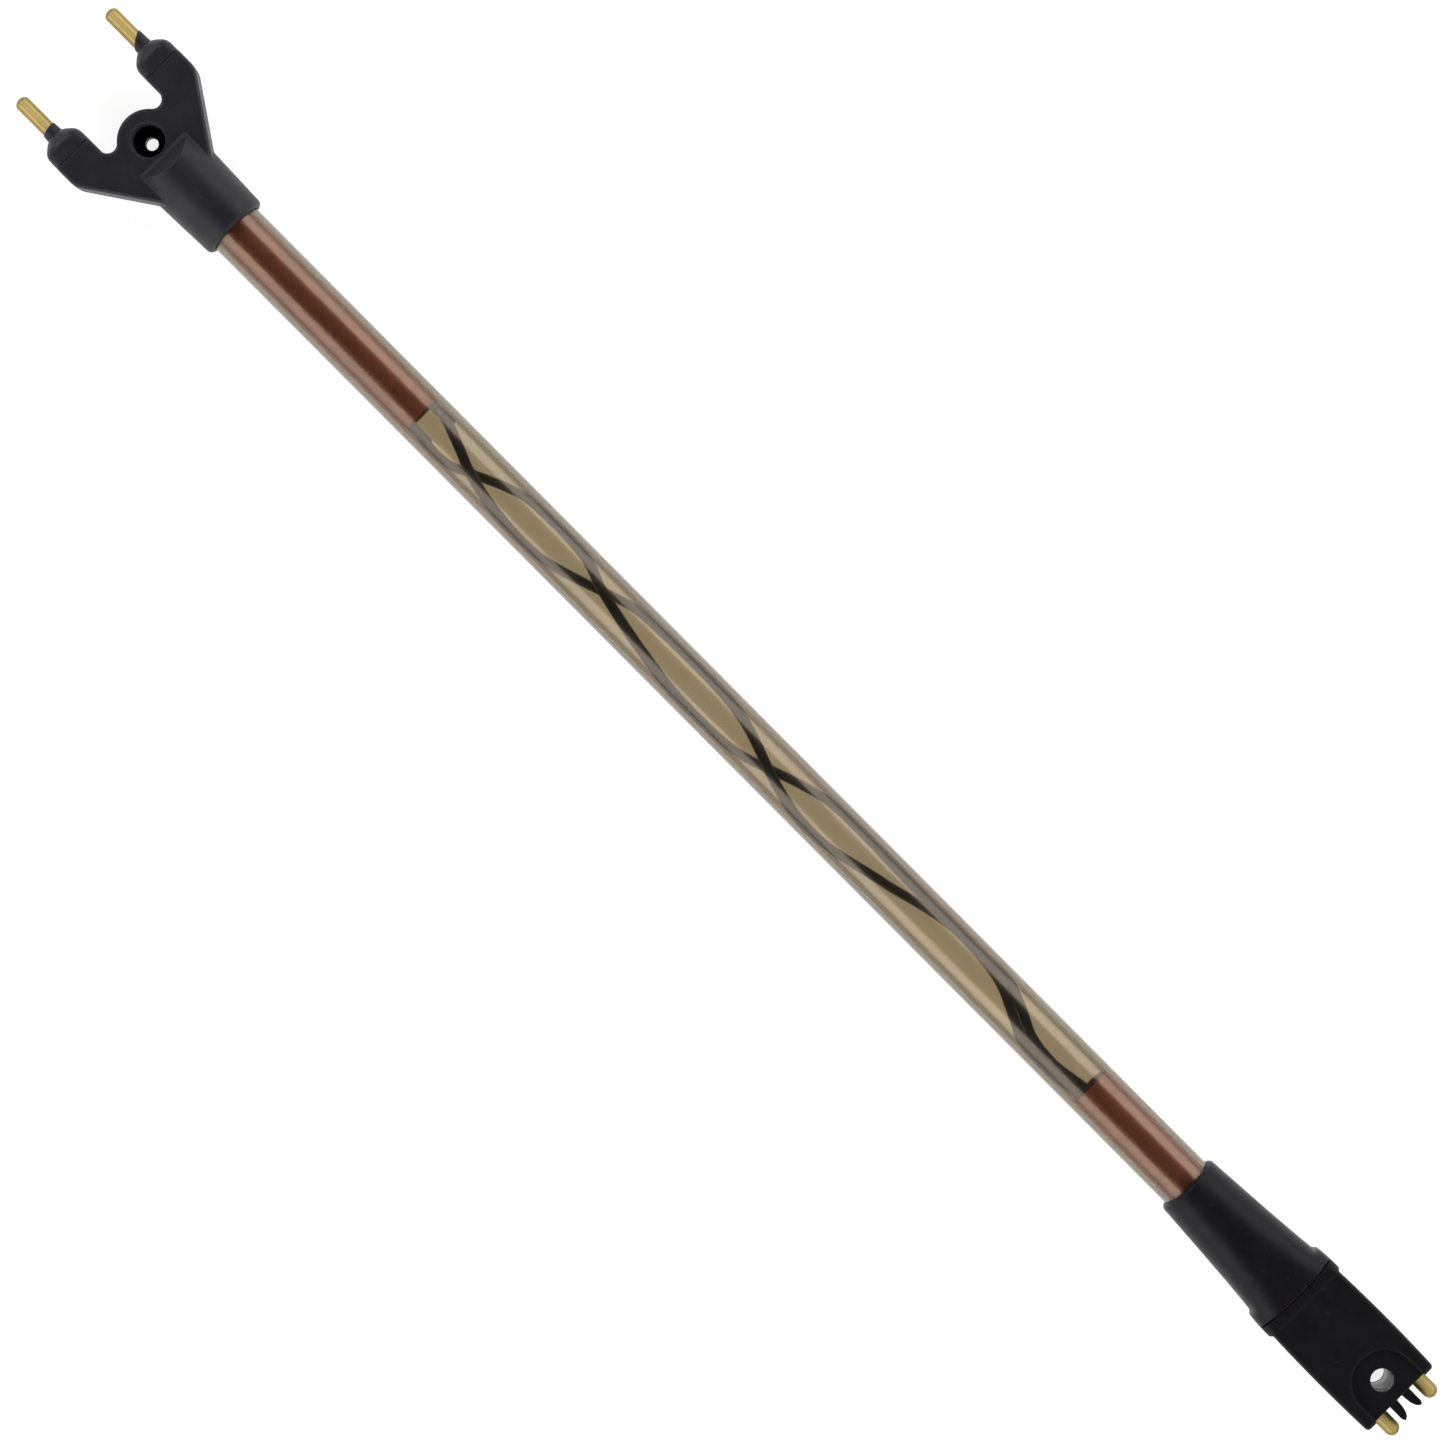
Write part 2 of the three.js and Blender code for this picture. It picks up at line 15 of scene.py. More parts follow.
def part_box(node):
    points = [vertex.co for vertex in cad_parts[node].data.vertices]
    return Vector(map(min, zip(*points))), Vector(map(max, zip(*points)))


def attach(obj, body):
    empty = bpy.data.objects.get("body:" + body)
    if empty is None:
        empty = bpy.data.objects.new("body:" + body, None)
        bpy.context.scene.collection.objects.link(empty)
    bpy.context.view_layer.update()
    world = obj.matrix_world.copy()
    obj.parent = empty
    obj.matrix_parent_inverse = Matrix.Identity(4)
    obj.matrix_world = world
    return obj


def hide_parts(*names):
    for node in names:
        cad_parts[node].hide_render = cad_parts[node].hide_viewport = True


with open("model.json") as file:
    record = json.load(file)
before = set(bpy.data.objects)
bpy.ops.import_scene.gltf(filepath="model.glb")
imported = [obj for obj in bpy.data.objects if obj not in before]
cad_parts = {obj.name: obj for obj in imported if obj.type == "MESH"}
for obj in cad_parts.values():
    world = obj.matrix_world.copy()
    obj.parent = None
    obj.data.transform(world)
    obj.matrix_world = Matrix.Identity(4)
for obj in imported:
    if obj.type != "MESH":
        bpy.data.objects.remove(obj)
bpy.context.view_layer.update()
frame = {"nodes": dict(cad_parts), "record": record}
MM = 0.001
BODY = "root"


def span(node):
    """A CAD node's lowest and highest corners, in millimetres in the shared frame."""
    low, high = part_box(node)
    return np.array(low) / MM, np.array(high) / MM


def opening(name):
    """The middle and half size of one of the record's stated openings, in millimetres."""
    found = [o for o in frame["record"]["physics"]["openings"] if o["name"] == name][0]
    low, high = np.array(found["box_m"]) / MM
    return (low + high) / 2, (high - low) / 2


# ---- Places and sizes taken from the frame -----------------------------------------------------

TUBE_LOW, TUBE_HIGH = span("shaft_tube")
AXIS_HEIGHT = (TUBE_LOW[2] + TUBE_HIGH[2]) / 2
TUBE_RADIUS = (TUBE_HIGH[1] - TUBE_LOW[1]) / 2
TUBE_BORE, TUBE_GAP = 7.25, 0.06
SLEEVE_BORE = 6.15
HEAD_LOW, HEAD_HIGH = span("contact_head")
CAP_LOW, CAP_HIGH = span("left_tip_cap")
ROD_LOW, ROD_HIGH = span("left_electrode")
PIN_LOW, PIN_HIGH = span("left_contact_pin")
BOOT_LOW, BOOT_HIGH = span("rear_boot")
PLUG_LOW = span("plug_body")[0]
BUSH_LOW, BUSH_HIGH = span("plug_bushing")

ARM_Y = (CAP_LOW[1] + CAP_HIGH[1]) / 2
ARM_HALF = (CAP_HIGH[1] - CAP_LOW[1]) / 2
ROD_RADIUS = (ROD_HIGH[1] - ROD_LOW[1]) / 2
PIN_RADIUS = (PIN_HIGH[1] - PIN_LOW[1]) / 2
PIN_Y = (PIN_LOW[1] + PIN_HIGH[1]) / 2
NECK_RADIUS = (HEAD_HIGH[2] - HEAD_LOW[2]) / 2
BOSS_X = opening("head_counterbore")[0][0]
HOLE_X = opening("plug_screw_hole")[0][0]


# ---- Field arithmetic: signed distances, negative inside --------------------------------------


def rounded_and(a, b, radius):
    """The overlap of two shapes, with the edge where they meet rounded to a radius."""
    out = np.hypot(np.maximum(a + radius, 0), np.maximum(b + radius, 0))
    return np.minimum(np.maximum(a, b) + radius, 0) + out - radius


def soft_or(a, b, width):
    """Two shapes joined with a fillet about as wide as given."""
    share = np.clip(0.5 + 0.5 * (b - a) / width, 0, 1)
    return b * (1 - share) + a * share - width * share * (1 - share)


def cut(a, b, width=0.3):
    """Shape a with b taken away and the edge softened."""
    return -soft_or(-a, b, width)


def polygon(x, y, points):
    """Distance to a closed outline in the plan."""
    near = np.full(np.broadcast(x, y).shape, np.inf)
    inside = np.zeros(near.shape, bool)
    for (x0, y0), (x1, y1) in zip(points, np.roll(points, -1, axis=0)):
        ex, ey = x1 - x0, y1 - y0
        along = np.clip(((x - x0) * ex + (y - y0) * ey) / (ex * ex + ey * ey), 0, 1)
        near = np.minimum(near, np.hypot(x - x0 - along * ex, y - y0 - along * ey))
        if ey != 0:
            crosses = ((y0 > y) != (y1 > y)) & (x < x0 + ex * (y - y0) / ey)
            inside ^= crosses
    return np.where(inside, -near, near)


def path_distance(x, y, z, points):
    """Distance to a polyline in the plane of the axis."""
    near = np.inf
    for (x0, y0), (x1, y1) in zip(points[:-1], points[1:]):
        ex, ey = x1 - x0, y1 - y0
        along = np.clip(((x - x0) * ex + (y - y0) * ey) / (ex * ex + ey * ey), 0, 1)
        there = np.hypot(np.hypot(x - x0 - along * ex, y - y0 - along * ey), z)
        near = np.minimum(near, there)
    return near


def arc(cx, cy, radius, start, end, steps=14):
    """Points along an arc, with its angles in degrees."""
    angles = np.radians(np.linspace(start, end, steps))
    return [(cx + radius * math.cos(a), cy + radius * math.sin(a)) for a in angles]


def curve(start, control, end, shares):
    """Points on a quadratic curve, at shares from 0 at its start to 1 at its end."""
    a, b, c = (np.array(point) for point in (start, control, end))
    return [tuple((1 - t) ** 2 * a + 2 * t * (1 - t) * b + t * t * c) for t in shares]


def section(turns, half_width, half_height, power):
    """The y and z of a closed section, which is oval at a power of 2 and squarer above it."""
    across, up = np.cos(turns), np.sin(turns)
    y = half_width * np.sign(across) * np.abs(across) ** (2 / power)
    z = half_height * np.sign(up) * np.abs(up) ** (2 / power)
    return y, z


def ripple(x, y):
    """An uneven wave between -1 and 1, for hand-trimmed and flashed edges."""
    return (np.sin(1.7 * x + 0.9 * y) + np.sin(2.9 * x - 2.1 * y + 1.3) + np.sin(5.3 * x + 4.1 * y)) / 3


# ---- Mesh building ----------------------------------------------------------------------------


def field_mesh(field, low, high, step):
    """Surface nets: points and quads where the field is zero, then drawn onto the exact surface."""
    first = np.floor(np.array(low) / step).astype(int) - 2
    last = np.ceil(np.array(high) / step).astype(int) + 3
    axes = [np.arange(a, b) * step for a, b in zip(first, last)]
    shape = tuple(len(a) for a in axes)
    x, y, z = axes[0][:, None, None], axes[1][None, :, None], axes[2][None, None, :]
    grid = np.broadcast_to(field(x, y, z), shape)
    inside = grid < 0

    corners = [(i, j, k) for i in (0, 1) for j in (0, 1) for k in (0, 1)]
    cell_shape = tuple(n - 1 for n in shape)
    count = np.zeros(cell_shape, np.int8)
    for corner in corners:
        window = tuple(slice(c, c + n) for c, n in zip(corner, cell_shape))
        count += inside[window]
    mixed = (count > 0) & (count < 8)
    cells = np.argwhere(mixed)
    number = np.full(cell_shape, -1)
    number[mixed] = np.arange(len(cells))

    total, crossings = np.zeros((len(cells), 3)), np.zeros(len(cells))
    for a in corners:
        for axis in range(3):
            if a[axis]:
                continue
            b = tuple(c + (n == axis) for n, c in enumerate(a))
            here, there = grid[tuple((cells + a).T)], grid[tuple((cells + b).T)]
            crossed = (here < 0) != (there < 0)
            share = np.where(crossed, here / np.where(crossed, here - there, 1), 0)
            total += crossed[:, None] * (np.array(a) + share[:, None] * (np.array(b) - a))
            crossings += crossed
    points = (first + cells + total / crossings[:, None]) * step

    quads = []
    for axis in range(3):
        u, v = (axis + 1) % 3, (axis + 2) % 3
        lower = [slice(None)] * 3
        upper = [slice(None)] * 3
        lower[axis], upper[axis] = slice(0, -1), slice(1, None)
        at = np.argwhere(inside[tuple(lower)] != inside[tuple(upper)])
        ring = []
        for du, dv in ((-1, -1), (0, -1), (0, 0), (-1, 0)):
            cell = at.copy()
            cell[:, u] += du
            cell[:, v] += dv
            ring.append(number[tuple(cell.T)])
        ring = np.stack(ring, 1)
        outward = inside[tuple(at.T)]
        quads.append(np.where(outward[:, None], ring, ring[:, ::-1]))

    probe = step * 0.1
    for _ in range(3):
        value = field(*points.T)
        slope = np.stack([field(*(points + probe * unit).T) for unit in np.eye(3)], 1)
        slope = (slope - value[:, None]) / probe
        steep = np.maximum((slope**2).sum(1), 0.2)
        move = np.clip(value / steep, -step, step)
        points = points - move[:, None] * slope
    return points, np.concatenate(quads)


def ring_mesh(rings, loop=False):
    """A skin over equal rings. A loop closes on itself, and otherwise the ends are capped."""
    rings = np.asarray(rings, float)
    rows, sides = rings.shape[:2]
    points = rings.reshape(-1, 3)
    faces = []
    for i in range(rows if loop else rows - 1):
        here, there = i * sides, ((i + 1) % rows) * sides
        for j in range(sides):
            k = (j + 1) % sides
            faces.append((here + j, there + j, there + k, here + k))
    if not loop:
        for row, turn in ((0, 1), (rows - 1, -1)):
            centre = len(points)
            points = np.vstack([points, rings[row].mean(0)])
            for j in range(sides):
                pair = (row * sides + j, row * sides + (j + 1) % sides)
                faces.append((*pair[::turn], centre))
    return points, faces


def add_piece(name, shape, material, replaces=(), crease=None):
    """Adds a piece made in axis millimetres, on the part's one body, in place of its CAD nodes."""
    points, faces = shape
    points = (np.asarray(points) + [0, 0, AXIS_HEIGHT]) * MM
    faces = faces.tolist() if isinstance(faces, np.ndarray) else faces
    mesh = bpy.data.meshes.new(name)
    mesh.from_pydata(points.tolist(), [], faces)
    mesh.validate()
    mesh.polygons.foreach_set("use_smooth", np.ones(len(mesh.polygons), bool))
    if crease:
        mesh.set_sharp_from_angle(angle=math.radians(crease))
    mesh.materials.append(material)
    obj = bpy.data.objects.new(name, mesh)
    bpy.context.scene.collection.objects.link(obj)
    if signed_volume(mesh) < 0:
        mesh.flip_normals()
    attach(obj, BODY)
    if replaces:
        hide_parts(*replaces)
    return obj


def signed_volume(mesh):
    """Six times the mesh's volume, negative where its faces point inwards."""
    mesh.calc_loop_triangles()
    corners = np.zeros(len(mesh.vertices) * 3)
    mesh.vertices.foreach_get("co", corners)
    index = np.zeros(len(mesh.loop_triangles) * 3, int)
    mesh.loop_triangles.foreach_get("vertices", index)
    a, b, c = corners.reshape(-1, 3)[index.reshape(-1, 3)].transpose(1, 0, 2)
    return float((a * np.cross(b, c)).sum())


def turn(profile, sides=96, y=0.0):
    """Rings turned about a line parallel to the axis, from (x, radius) points."""
    angles = np.linspace(0, 2 * math.pi, sides, endpoint=False)
    return [
        np.stack([np.full(sides, x), y + r * np.cos(angles), r * np.sin(angles)], 1)
        for x, r in profile
    ]


def pipe(x0, x1, outer, bore, sides=96, edge=0.15):
    """A closed pipe with slightly broken edges."""
    return ring_mesh(
        turn(
            [
                (x0, bore + edge),
                (x0, outer - edge),
                (x0 + edge, outer),
                *[(x, outer) for x in np.linspace(x0 + 2, x1 - 2, 12)],
                (x1 - edge, outer),
                (x1, outer - edge),
                (x1, bore + edge),
                (x1 - edge, bore),
                *[(x, bore) for x in np.linspace(x1 - 2, x0 + 2, 12)],
                (x0 + edge, bore),
            ],
            sides,
        ),
        loop=True,
    )


def rod(tail_end, rear, tip, radius, dome, y, groove=None):
    """A turned rod with a thin tail, a broken rear edge and a domed tip."""
    out = math.copysign(1, tip - rear)
    tail = 0.7
    profile = [(tail_end, tail - 0.12), (tail_end + out * 0.12, tail), (rear, tail)]
    profile += [(rear, radius - 0.2), (rear + out * 0.2, radius)]
    start, end = rear + out * 0.6, tip - out * (dome + 0.3)
    stations = list(np.linspace(start, end, 26))
    if groove is not None:
        stations += [groove - 0.2, groove - 0.08, groove + 0.08, groove + 0.2]
    for x in sorted(stations, reverse=out < 0):
        sunk = groove is not None and abs(x - groove) < 0.1
        profile.append((x, radius - (0.05 if sunk else 0)))
    for angle in np.radians(np.linspace(0, 88, 16)):
        profile.append((tip - out * dome * (1 - math.sin(angle)), radius * math.cos(angle)))
    return ring_mesh(turn(profile, 64, y))


# ---- Contact head -----------------------------------------------------------------------------

PLATE_HALF = ARM_HALF
ARM_INNER, ARM_OUTER = ARM_Y - PLATE_HALF, ARM_Y + PLATE_HALF
ARM_END = HEAD_HIGH[0]
RIM = HEAD_LOW[0]
BOSS_RADIUS, NOTCH_RADIUS = 9.8, 2.8
COUNTERBORE, COUNTERBORE_FLOOR, THROUGH_HOLE = 5.0, -2.15, 2.0
SOCKET_END, NECK_FOOT = 240.6, 247.7
RIM_RADIUS, NECK_START = 10.8, 238.3
# The neck's front face rises from its foot on the plate, with this normal in x and z
NECK_FRONT_NORMAL = (0.7295, 0.684)
FORK_START, FORK_START_HALF = 236.0, 9.3
# The bend in an arm's outer side: where it starts, its control point, its end and its depth
BEND_START, BEND_CONTROL, BEND_END, BEND_DEPTH = 257.6, 259.7, 262.0, 1.6
# Raised lips: the ring round the counterbore, the neck's brow and the line along its foot
LIP_RADIUS, BROW_HALF, FOOT_HALF = 5.4, 8.6, 9.4
SINK_X, SINK_Y = 232.6, -0.3
ROD_HOLE, ROD_HOLE_FLOOR = 2.55, 258.9
# The parting line's flash stands out this far from the sides, which are set in by as much.
FLASH = 0.1
LEAD_RADIUS, LEAD_BORE, LEAD_PASSAGE = 1.5, 0.8, 1.7
# Where the leads part in the head and in the plug: x, and distance from the axis
HEAD_SPREAD = [
    (258.4, 19.0), (257.4, 19.0), (256.2, 18.7), (254.6, 17.9), (251.6, 15.0), (248.6, 11.3),
    (245.4, 7.8), (243.2, 6.0), (241.0, 4.75), (239.2, 4.25), (235.0, 4.2),
]  # fmt: skip
PLUG_SPREAD = [
    (-234.0, 4.2), (-237.0, 4.25), (-239.5, 4.8), (-242.5, 6.1), (-245.5, 7.4),
    (-248.0, 8.05), (-249.6, 8.15), (-250.5, 8.15),
]  # fmt: skip


def fork_outline():
    """Half of the fork's plan, from the neck round one arm to the tip of the boss."""
    notch_y = ARM_INNER - NOTCH_RADIUS
    notch_x = BOSS_X + math.sqrt((BOSS_RADIUS + NOTCH_RADIUS) ** 2 - notch_y**2)
    touch = math.degrees(math.atan2(notch_y, notch_x - BOSS_X))
    bend = [(BEND_START, ARM_OUTER - BEND_DEPTH), (BEND_CONTROL, ARM_OUTER), (BEND_END, ARM_OUTER)]
    return [
        (FORK_START, -30.0),
        (FORK_START, FORK_START_HALF),
        *curve(*bend, np.linspace(0, 1, 9)),
        (ARM_END + 5, ARM_OUTER),
        (ARM_END + 5, ARM_INNER),
        *arc(notch_x, notch_y, NOTCH_RADIUS, 90, 180 + touch),
        *arc(BOSS_X, 0, BOSS_RADIUS, touch, 0, 9)[1:],
        (BOSS_X + BOSS_RADIUS, -30.0),
    ]


FORK = fork_outline()


def head_field(x, y, z):
    """The moulded head: fork, neck, raised lips and flash, less its socket, holes and passages."""
    plan = polygon(x, np.abs(y), FORK) + FLASH
    plate = rounded_and(plan, np.abs(z) - PLATE_HALF, 1.2)
    plate = rounded_and(plate, x - ARM_END, 0.3)

    radial = np.hypot(y, z)
    swell = np.clip((x - RIM) / (NECK_START - RIM), 0, 1)
    neck = radial - RIM_RADIUS - swell * (NECK_RADIUS - RIM_RADIUS)
    neck = rounded_and(neck, RIM - x, 1.5)
    ahead, above = NECK_FRONT_NORMAL
    front = (x - NECK_FOOT) * ahead + (np.abs(z) - PLATE_HALF) * above
    brow = np.maximum(np.hypot(front, neck) - 0.2, np.abs(y) - BROW_HALF)
    neck = rounded_and(neck, front, 0.2)

    solid = soft_or(plate, neck, 0.6)
    solid = soft_or(solid, np.maximum(brow, -z), 0.2)
    boss = np.hypot(x - BOSS_X, y)
    ring = rounded_and(np.abs(boss - LIP_RADIUS) - 0.22, z - PLATE_HALF - 0.26, 0.15)
    solid = soft_or(solid, np.maximum(ring, -z), 0.25)
    foot = np.hypot(x - NECK_FOOT - 0.2, z - PLATE_HALF)
    solid = soft_or(solid, np.maximum(foot - 0.22, np.abs(y) - FOOT_HALF), 0.2)
    flash = FLASH * (0.6 + 0.4 * ripple(x, y)) * np.exp(-((z / 0.28) ** 2))
    solid = solid - flash
    sink = 0.16 * np.exp(-(((x - SINK_X) / 1.5) ** 2) - ((y - SINK_Y) / 0.8) ** 2)
    solid = solid + np.where(z > 0, sink, 0)

    socket = np.maximum(radial - TUBE_RADIUS - TUBE_GAP, x - SOCKET_END)
    solid = cut(solid, socket, 0.35)
    solid = cut(solid, np.maximum(boss - COUNTERBORE, COUNTERBORE_FLOOR - z), 0.3)
    solid = cut(solid, boss - THROUGH_HOLE, 0.25)
    contact = np.hypot(np.abs(y) - ARM_Y, z) - ROD_HOLE
    solid = cut(solid, np.maximum(contact, ROD_HOLE_FLOOR - x), 0.15)
    return cut(solid, path_distance(x, np.abs(y), z, HEAD_SPREAD) - LEAD_PASSAGE, 0.15)


CAP_BASE = ARM_END + 0.1
CAP_LENGTH = 8.35
ROD_PASSAGE = 2.42
# A cap's sections: distance from its base, half size, and power. Higher powers are squarer.
CAP_SECTIONS = np.array(
    [
        (0.0, 6.1, 6.0), (0.15, 6.4, 6.0), (0.45, 6.6, 6.0), (1.6, 6.6, 5.6), (2.8, 6.6, 5.2),
        (3.7, 6.55, 4.8), (4.3, 6.45, 4.4), (4.9, 6.25, 4.0), (5.5, 5.95, 3.6), (6.1, 5.45, 3.2),
        (6.7, 4.9, 2.9), (7.3, 4.3, 2.6), (7.8, 3.7, 2.3), (8.1, 3.3, 2.1), (8.3, 2.95, 2.0),
    ]
)  # fmt: skip


def tip_cap(side):
    """A cap with a seam edge, moulded creases, and a thin collar that is cut at a slant."""
    sides = 128
    turns = np.linspace(0, 2 * math.pi, sides, endpoint=False)
    across, up = np.cos(turns), np.sin(turns)
    stations = np.unique(np.concatenate([CAP_SECTIONS[:, 0], np.arange(0.6, 8.3, 0.3)]))
    rings = []
    for x in stations:
        half = np.interp(x, CAP_SECTIONS[:, 0], CAP_SECTIONS[:, 1])
        power = np.interp(x, CAP_SECTIONS[:, 0], CAP_SECTIONS[:, 2])
        y, z = section(turns, half, half, power)
        seam = np.exp(-((z / 0.3) ** 2)) * FLASH * (0.6 + 0.4 * ripple(x * 3, side * 7.0))
        y = y + np.sign(y) * seam
        dimple = 0.3 * np.exp(-(((x - 2.9) / 1.4) ** 2) - ((y - side * 0.9) / 1.3) ** 2)
        crease = 0.16 * np.exp(-(((y + 0.4) / 0.28) ** 2)) * (4.4 < x < 8.2)
        z = z + np.where(z > 0, crease - dimple, 0)
        rings.append(np.stack([np.full(sides, CAP_BASE + x), y, z], 1))

    # The collar is longest on the right (outer) side of the right cap, and a rounded
    # tongue towards the middle of the fork on the left one.
    if side < 0:
        reach = 277.4 + 3.3 * np.clip(0.5 - 0.5 * across, 0, 1) ** 0.8
    else:
        reach = 277.5 + 1.7 * np.clip(0.62 - 0.38 * across, 0, 1) ** 0.6
    start = CAP_BASE + CAP_LENGTH
    for share, radius in ((0.0, 2.84), (0.3, 2.74), (0.7, 2.68), (0.95, 2.62), (1.0, 2.5)):
        x = start + share * (reach - start)
        rings.append(np.stack([x, radius * across, radius * up], 1))
    for share in (0.9, 0.0):
        x = start + share * (reach - start)
        rings.append(np.stack([x, ROD_PASSAGE * across, ROD_PASSAGE * up], 1))
    rings.append(np.stack([np.full(sides, CAP_BASE), ROD_PASSAGE * across, ROD_PASSAGE * up], 1))
    points, faces = ring_mesh(rings, loop=True)
    return points + [0, side * ARM_Y, 0], faces


# ---- Boot -------------------------------------------------------------------------------------

BOOT_RIM, BOOT_END = BOOT_HIGH[0], BOOT_LOW[0] - 0.25
SIDE_BAND = -232.9
# The boot's sections: x, half width, half height and power
BOOT_SECTIONS = np.array(
    [
        (-192.7, 10.4, 10.4, 2.0),
        (-209.1, 11.5, 10.85, 2.15),
        (-224.7, 12.65, 11.25, 2.5),
        (SIDE_BAND, 13.5, 11.5, 2.95),
        (BOOT_END, 13.95, 11.64, 3.3),
    ]
)
# The plug's spigot, which the boot is pushed over
SPIGOT_FRONT, SPIGOT_RADIUS = -229.3, 10.2


def rear_boot():
    """The tapered boot: a rounded rim, an oval body, a band on its sides and a ragged rear edge."""
    sides = 160
    turns = np.linspace(0, 2 * math.pi, sides, endpoint=False)
    known, *columns = BOOT_SECTIONS.T
    width, height, power = (np.polynomial.Polynomial.fit(known, c, 3) for c in columns)

    def ring(x, half_width, half_height, squareness):
        """One section, with the band that stands out of the boot's sides behind SIDE_BAND."""
        y, z = section(turns, half_width, half_height, squareness)
        # The band is on the sides alone, and fades away over the top.
        step = np.clip((SIDE_BAND - x) / 1.3, 0, 1) * (half_width > 12)
        band = 1.0 * step * step * (3 - 2 * step) * np.clip((np.abs(y) - 10.0) / 3.4, 0, 1) ** 2
        return np.stack([np.full(sides, x), y + np.sign(y) * band, np.maximum(z, -AXIS_HEIGHT)], 1)

    rings = []
    for angle in np.radians(np.linspace(0, 90, 8)):
        radius = 9.05 + 1.35 * math.sin(angle)
        rings.append(ring(BOOT_RIM - 1.4 * (1 - math.cos(angle)), radius, radius, 2.0))
    for x in np.arange(BOOT_RIM - 2.0, BOOT_END + 0.4, -0.6):
        rings.append(ring(x, width(x), height(x), power(x)))
    last = BOOT_END + 0.35
    for angle in np.radians((0, 30, 60, 90)):
        share = math.sin(angle)
        inset = 0.2 * (1 - math.cos(angle))
        edge = ring(last - 0.35 * share, width(last) - inset, height(last) - inset, power(last))
        edge[:, 0] += 0.28 * share * (0.5 + 0.5 * ripple(2 * edge[:, 1], 2 * edge[:, 2]))
        rings.append(edge)
    rings.append(ring(BOOT_END, 13.0, 10.9, 2.6))
    seat, seat_front = SPIGOT_RADIUS + 0.08, -228.9
    rings += [ring(x, seat, seat, 2.0) for x in (BOOT_END, BOOT_END + 2, -229.4, seat_front)]
    bore = TUBE_RADIUS + TUBE_GAP
    rings += [ring(x, bore, bore, 2.0) for x in np.linspace(seat_front, BOOT_RIM - 0.2, 20)]
    rings.append(ring(BOOT_RIM, bore + 0.15, bore + 0.15, 2.0))
    return ring_mesh(rings, loop=True)


# ---- Plug -------------------------------------------------------------------------------------

PLUG_HALF, PLUG_THICK = 14.0, 11.1
COLLAR_FRONT, COLLAR_REAR, COLLAR_HALF = -237.9, -241.4, 14.9
PLUG_END, TOOTH_ROOT, TOOTH_BEND, TOOTH_TIP = -282.4, -282.0, -288.2, PLUG_LOW[0]
TOOTH_HALF = 5.0
TUBE_SEAT, PIN_SEAT = -238.0, -251.0
RECESS_X, RECESS_RADIUS, RECESS_DEPTH = -275.4, 10.3, 1.8
SCREW_HOLE, BUSHING_RADIUS = 3.57, (BUSH_HIGH[0] - BUSH_LOW[0]) / 2
BUSHING_HALF = (BUSH_HIGH[2] - BUSH_LOW[2]) / 2


def tooth_outline():
    """The left tooth's plan, from its root along the inner edge to the tip and back."""
    inner, outer, tip_y = 1.0, 4.1, 3.35
    points = [(TOOTH_ROOT + 2, inner), (TOOTH_ROOT - 0.4, inner)]
    belly = [(TOOTH_ROOT - 0.4, inner), (TOOTH_BEND, inner), (TOOTH_TIP + 0.2, tip_y - 0.4)]
    points += curve(*belly, np.linspace(0.1, 1, 9))
    points += [(TOOTH_TIP, tip_y), (TOOTH_TIP + 0.2, tip_y + 0.35), (TOOTH_TIP + 1.2, outer)]
    return points + [(TOOTH_ROOT + 2, outer)]


TOOTH = tooth_outline()


def plug_field(x, y, z):
    """The moulded plug: body, collar, spigot and teeth, less its recess, holes and passages."""
    side = np.abs(y)
    middle, reach = (COLLAR_REAR + PLUG_END) / 2, (COLLAR_REAR - PLUG_END) / 2
    bulge = 0.4 * (1 - ((x - middle) / reach) ** 2)
    plan = rounded_and(side - PLUG_HALF - bulge, PLUG_END - x, 1.3)
    body = rounded_and(plan, np.abs(z) - PLUG_THICK, 1.3)
    body = np.maximum(body, x - COLLAR_REAR - 2)

    collar = rounded_and(side - COLLAR_HALF, np.abs(z) - PLUG_THICK, 3.0)
    collar = rounded_and(collar, COLLAR_REAR - x, 0.8)
    collar = rounded_and(collar, x - COLLAR_FRONT, 0.25)
    solid = soft_or(body, collar, 0.5)

    radial = np.hypot(y, z)
    spigot = rounded_and(radial - SPIGOT_RADIUS, x - SPIGOT_FRONT, 0.5)
    solid = soft_or(solid, np.maximum(spigot, COLLAR_REAR - x), 0.4)

    flash = 0.14 * (0.6 + 0.4 * ripple(x, y)) * np.exp(-((z / 0.28) ** 2))
    solid = solid - flash

    around = np.hypot(np.maximum(x - RECESS_X, 0), y) - RECESS_RADIUS
    solid = cut(solid, rounded_and(around, PLUG_THICK - RECESS_DEPTH - np.abs(z), 0.2), 0.08)
    solid = cut(solid, np.maximum(side - RECESS_RADIUS, x - TOOTH_ROOT), 0.2)

    teeth = rounded_and(polygon(x, side, TOOTH), np.abs(z) - TOOTH_HALF, 0.3)
    solid = soft_or(solid, teeth, 0.7)

    round_pin = np.hypot(side - PIN_Y, z)
    solid = cut(solid, np.maximum(radial - TUBE_RADIUS - TUBE_GAP, TUBE_SEAT - x), 0.3)
    solid = cut(solid, np.maximum(round_pin - PIN_RADIUS - 0.12, x - PIN_SEAT), 0.15)
    hole = np.hypot(x - HOLE_X, y)
    solid = cut(solid, hole - SCREW_HOLE, 0.35)
    seat = np.maximum(hole - BUSHING_RADIUS - 0.1, np.abs(z) - BUSHING_HALF - 0.15)
    solid = cut(solid, seat, 0.15)
    return cut(solid, path_distance(x, side, z, PLUG_SPREAD) - LEAD_PASSAGE, 0.15)


